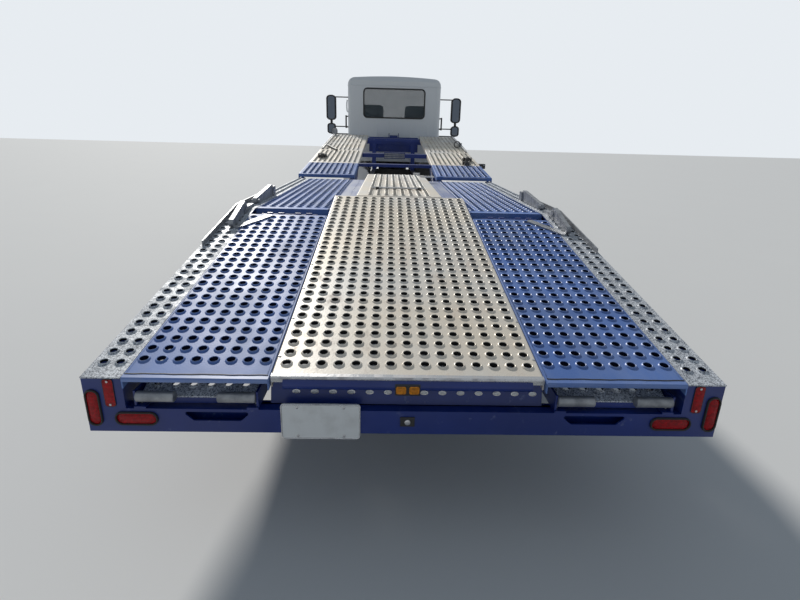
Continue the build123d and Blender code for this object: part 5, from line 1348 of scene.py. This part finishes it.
def chassis_bolts():
    """Bolt rows on the side rails and the frame, and straps round the air tanks."""
    shell = Shell()
    spots = [(d, DECK - 0.055) for d in np.arange(2.2, 4.6, 0.24)]
    spots += [(d, deck(d) - 0.085) for d in np.arange(0.4, 2.0, 0.24)]
    shell.both(*studs(spots, facing_side(HALF), 0.008, 0.0045))
    rail = [(d, z) for d in np.arange(4.9, 9.2, 0.4) for z in (0.76, 0.90)]
    shell.both(*studs(rail, facing_side(FRAME_HALF), 0.010, 0.008))
    tank_radius, tank_middle = 0.111, (0.392, 0.596)
    tank = circle(24) * tank_radius + tank_middle
    for d in (5.15, 5.60):
        shell.both(*bead(tank, [(0.0, 0.0), (0.0, 0.03), (0.003, 0.03), (0.003, 0.0)], facing_front(d)))
    piece("chassis_bolts", shell, ("bare_edge",))


def side_lamps():
    """A red and two amber lamps in rubber rings along each side rail."""
    shell = Shell()
    red, amber, rubber = 0, 1, 2
    ring = [(0.0, 0.0), (0.0, 0.004), (0.004, 0.005), (0.006, 0.0)]
    for d, lens_colour in ((0.55, red), (2.4, amber), (4.3, amber)):
        outline = rounded(0.065, 0.026, 0.010, 4, (d, deck(d) - 0.055))
        shell.both(*dome(outline, 0.009, facing_side(HALF), 4), lens_colour)
        shell.both(*bead(outline, ring, facing_side(HALF)), rubber)
    piece("side_lamps", shell, ("red_lens", "amber_lens", "gasket"))


# Stage
def link(name, data):
    """A new object in the scene."""
    thing = bpy.data.objects.new(name, data)
    bpy.context.scene.collection.objects.link(thing)
    return thing


def pale_floor():
    """Pale, faintly mottled floor."""
    reach = 60
    mesh = bpy.data.meshes.new("floor")
    mesh.from_pydata([(-reach, -reach, 0), (reach, -reach, 0), (reach, reach, 0), (-reach, reach, 0)], [],
                     [(0, 1, 2, 3)])
    pale = Finish("floor_pale", Roughness=0.9)
    pale.set(Base_Color=pale.mix(pale.noise(0.8, 4) * 0.3, (0.72, 0.72, 0.72), (0.66, 0.66, 0.67)))
    mesh.materials.append(pale.material)
    link("floor", mesh)


def light():
    """Even sky light, paler where the camera or, in part, a reflection sees it, and one soft lamp ahead."""
    world = bpy.data.worlds.new("studio")
    bpy.context.scene.world = world
    world.use_nodes = True
    world.node_tree.nodes.clear()
    sky = Nodes(world.node_tree)
    seen = (sky.node("ShaderNodeLightPath", output="Is Glossy Ray") * 0.45
            + sky.node("ShaderNodeLightPath", output="Is Camera Ray"))
    lit = sky.node("ShaderNodeBackground", inputs={0: (0.74, 0.87, 1.0), 1: 0.28})
    shown = sky.node("ShaderNodeBackground", inputs={0: (0.80, 0.84, 0.88), 1: 1.0})
    blend = sky.node("ShaderNodeMixShader", inputs={0: seen, 1: lit, 2: shown})
    sky.node("ShaderNodeOutputWorld", inputs={0: blend})
    lamp = bpy.data.lights.new("high_lamp", "SUN")
    lamp.energy, lamp.angle, lamp.color = 3.0, radians(6), (1.0, 0.97, 0.91)
    toward_lamp = Vector((-0.293, 0.815, 0.500))
    link("high_lamp", lamp).rotation_euler = toward_lamp.to_track_quat("Z", "Y").to_euler()


def camera():
    """The photo's camera, solved from the grid of holes: its place and its right, down and ahead ways."""
    focal_pixels, picture_width = 497, 800
    data = bpy.data.cameras.new("photo_camera")
    data.sensor_width, data.lens, data.clip_end = 36.0, 36.0 * focal_pixels / picture_width, 200
    right, down, ahead = (0.9988, -0.0203, 0.0250), (0.0173, -0.3153, -0.9482), (0.0271, 0.9485, -0.3153)
    place = (-0.089, at(-1.668), 1.640)
    rows = [(right[i], -down[i], -ahead[i], place[i]) for i in range(3)]
    thing = link("photo_camera", data)
    thing.matrix_world = Matrix(rows + [(0, 0, 0, 1)])
    bpy.context.scene.camera = thing
    bpy.context.scene.view_settings.view_transform = "Standard"


class TransporterSizes(bpy.types.PropertyGroup):
    """Sizes of the deck's perforation."""
    hole: bpy.props.FloatProperty(
        name="Hole", description="Width of a deck hole", default=0.034, min=0.01, unit="LENGTH")
    column_pitch: bpy.props.FloatProperty(
        name="Column pitch", description="Distance between holes across the deck", default=0.068, min=0.05,
        unit="LENGTH")
    row_pitch: bpy.props.FloatProperty(
        name="Row pitch", description="Distance between holes along the deck", default=0.0753, min=0.05,
        unit="LENGTH")


class TransporterColours(bpy.types.PropertyGroup):
    """Colours of the main finishes."""
    deck_blue: bpy.props.FloatVectorProperty(
        name="Deck blue", description="Enamel of the frame and the rear face", subtype="COLOR",
        default=(0.006, 0.030, 0.225), min=0, max=1)
    track_blue: bpy.props.FloatVectorProperty(
        name="Track blue", description="Worn enamel of the tracks", subtype="COLOR",
        default=(0.127, 0.235, 0.590), min=0, max=1)
    panel_tan: bpy.props.FloatVectorProperty(
        name="Panel tan", description="Bare centre panel", subtype="COLOR", default=(0.80, 0.71, 0.59), min=0,
        max=1)
    cab_white: bpy.props.FloatVectorProperty(
        name="Cab white", description="Cab and hood", subtype="COLOR", default=(0.74, 0.76, 0.78), min=0,
        max=1)
    lamp_red: bpy.props.FloatVectorProperty(
        name="Lamp red", description="Rear lamps", subtype="COLOR", default=(0.52, 0.004, 0.010), min=0,
        max=1)


def operator(key, label, words, steps):
    """An operator class that runs its steps in order."""
    def execute(self, context):
        for step in steps:
            step()
        return {"FINISHED"}
    return type(f"TRANSPORTER_OT_{key}", (bpy.types.Operator,), {
        "bl_idname": f"transporter.{key}", "bl_label": label, "__doc__": words, "execute": execute})


OPERATORS = [
    operator("stage", "Stage", "Floor, light and camera", [pale_floor, light, camera]),
    operator("solids", "Finish the solids", "Materials on the solids that stay in view", [paint_nodes]),
    operator("tail", "Tail and level tracks", "Perforated wheel tracks", [tail_deck]),
    operator("centre", "Centre panel and flap", "Tan perforated plates", [centre_deck, flap_deck]),
    operator("edges", "Edge strips", "Zinc strips along the deck", [edge_deck]),
    operator("front_deck", "Raised front tracks", "Perforated raised tracks", [front_deck_tracks]),
    operator("ramps", "Ramps", "Perforated stowed ramps", [ramp_plates]),
    operator("deck_fittings", "Deck fittings", "Hooks, straps, brackets and bolts",
             [headboard_hooks, slats, track_gear, side_arm_fittings]),
    operator("tyres", "Tyres", "Treaded tyres", [tyres]),
    operator("wheels", "Wheel fittings", "Nuts, caps and valves", [wheel_fittings]),
    operator("rear", "Rear face", "Lamps, plate rim and latch",
             [rear_lamps, rear_face_trim, rear_latch, rear_beam_web]),
    operator("cab", "Cab trim", "Window rubber, mirrors, seams and steps",
             [window_rubber, door_rubber, mirror_faces, cab_trim, step_treads]),
    operator("hood", "Hood trim", "Grille, lamps and bezels", [hood_trim]),
    operator("seats", "Seats", "Cloth seats", [seat_pads]),
    operator("chassis", "Chassis fittings", "Bolts, straps and side lamps", [chassis_bolts, side_lamps]),
]


class TRANSPORTER_PT_panel(bpy.types.Panel):
    """Lists every step of dressing the truck."""
    bl_label = "Car Transporter"
    bl_idname = "TRANSPORTER_PT_panel"
    bl_space_type = "VIEW_3D"
    bl_region_type = "UI"
    bl_category = "Transporter"

    def draw(self, context):
        scene = context.scene
        for group in (scene.transporter_sizes, scene.transporter_colours):
            for key in group.__annotations__:
                self.layout.prop(group, key)
        for item in OPERATORS:
            self.layout.operator(item.bl_idname)


CLASSES = [TransporterSizes, TransporterColours, *OPERATORS, TRANSPORTER_PT_panel]


def register():
    for item in CLASSES:
        bpy.utils.register_class(item)
    bpy.types.Scene.transporter_sizes = bpy.props.PointerProperty(type=TransporterSizes)
    bpy.types.Scene.transporter_colours = bpy.props.PointerProperty(type=TransporterColours)


def unregister():
    del bpy.types.Scene.transporter_sizes
    del bpy.types.Scene.transporter_colours
    for item in reversed(CLASSES):
        bpy.utils.unregister_class(item)


def main():
    register()
    for item in OPERATORS:
        group, name = item.bl_idname.split(".")
        getattr(getattr(bpy.ops, group), name)()


if __name__ == "__main__":
    main()
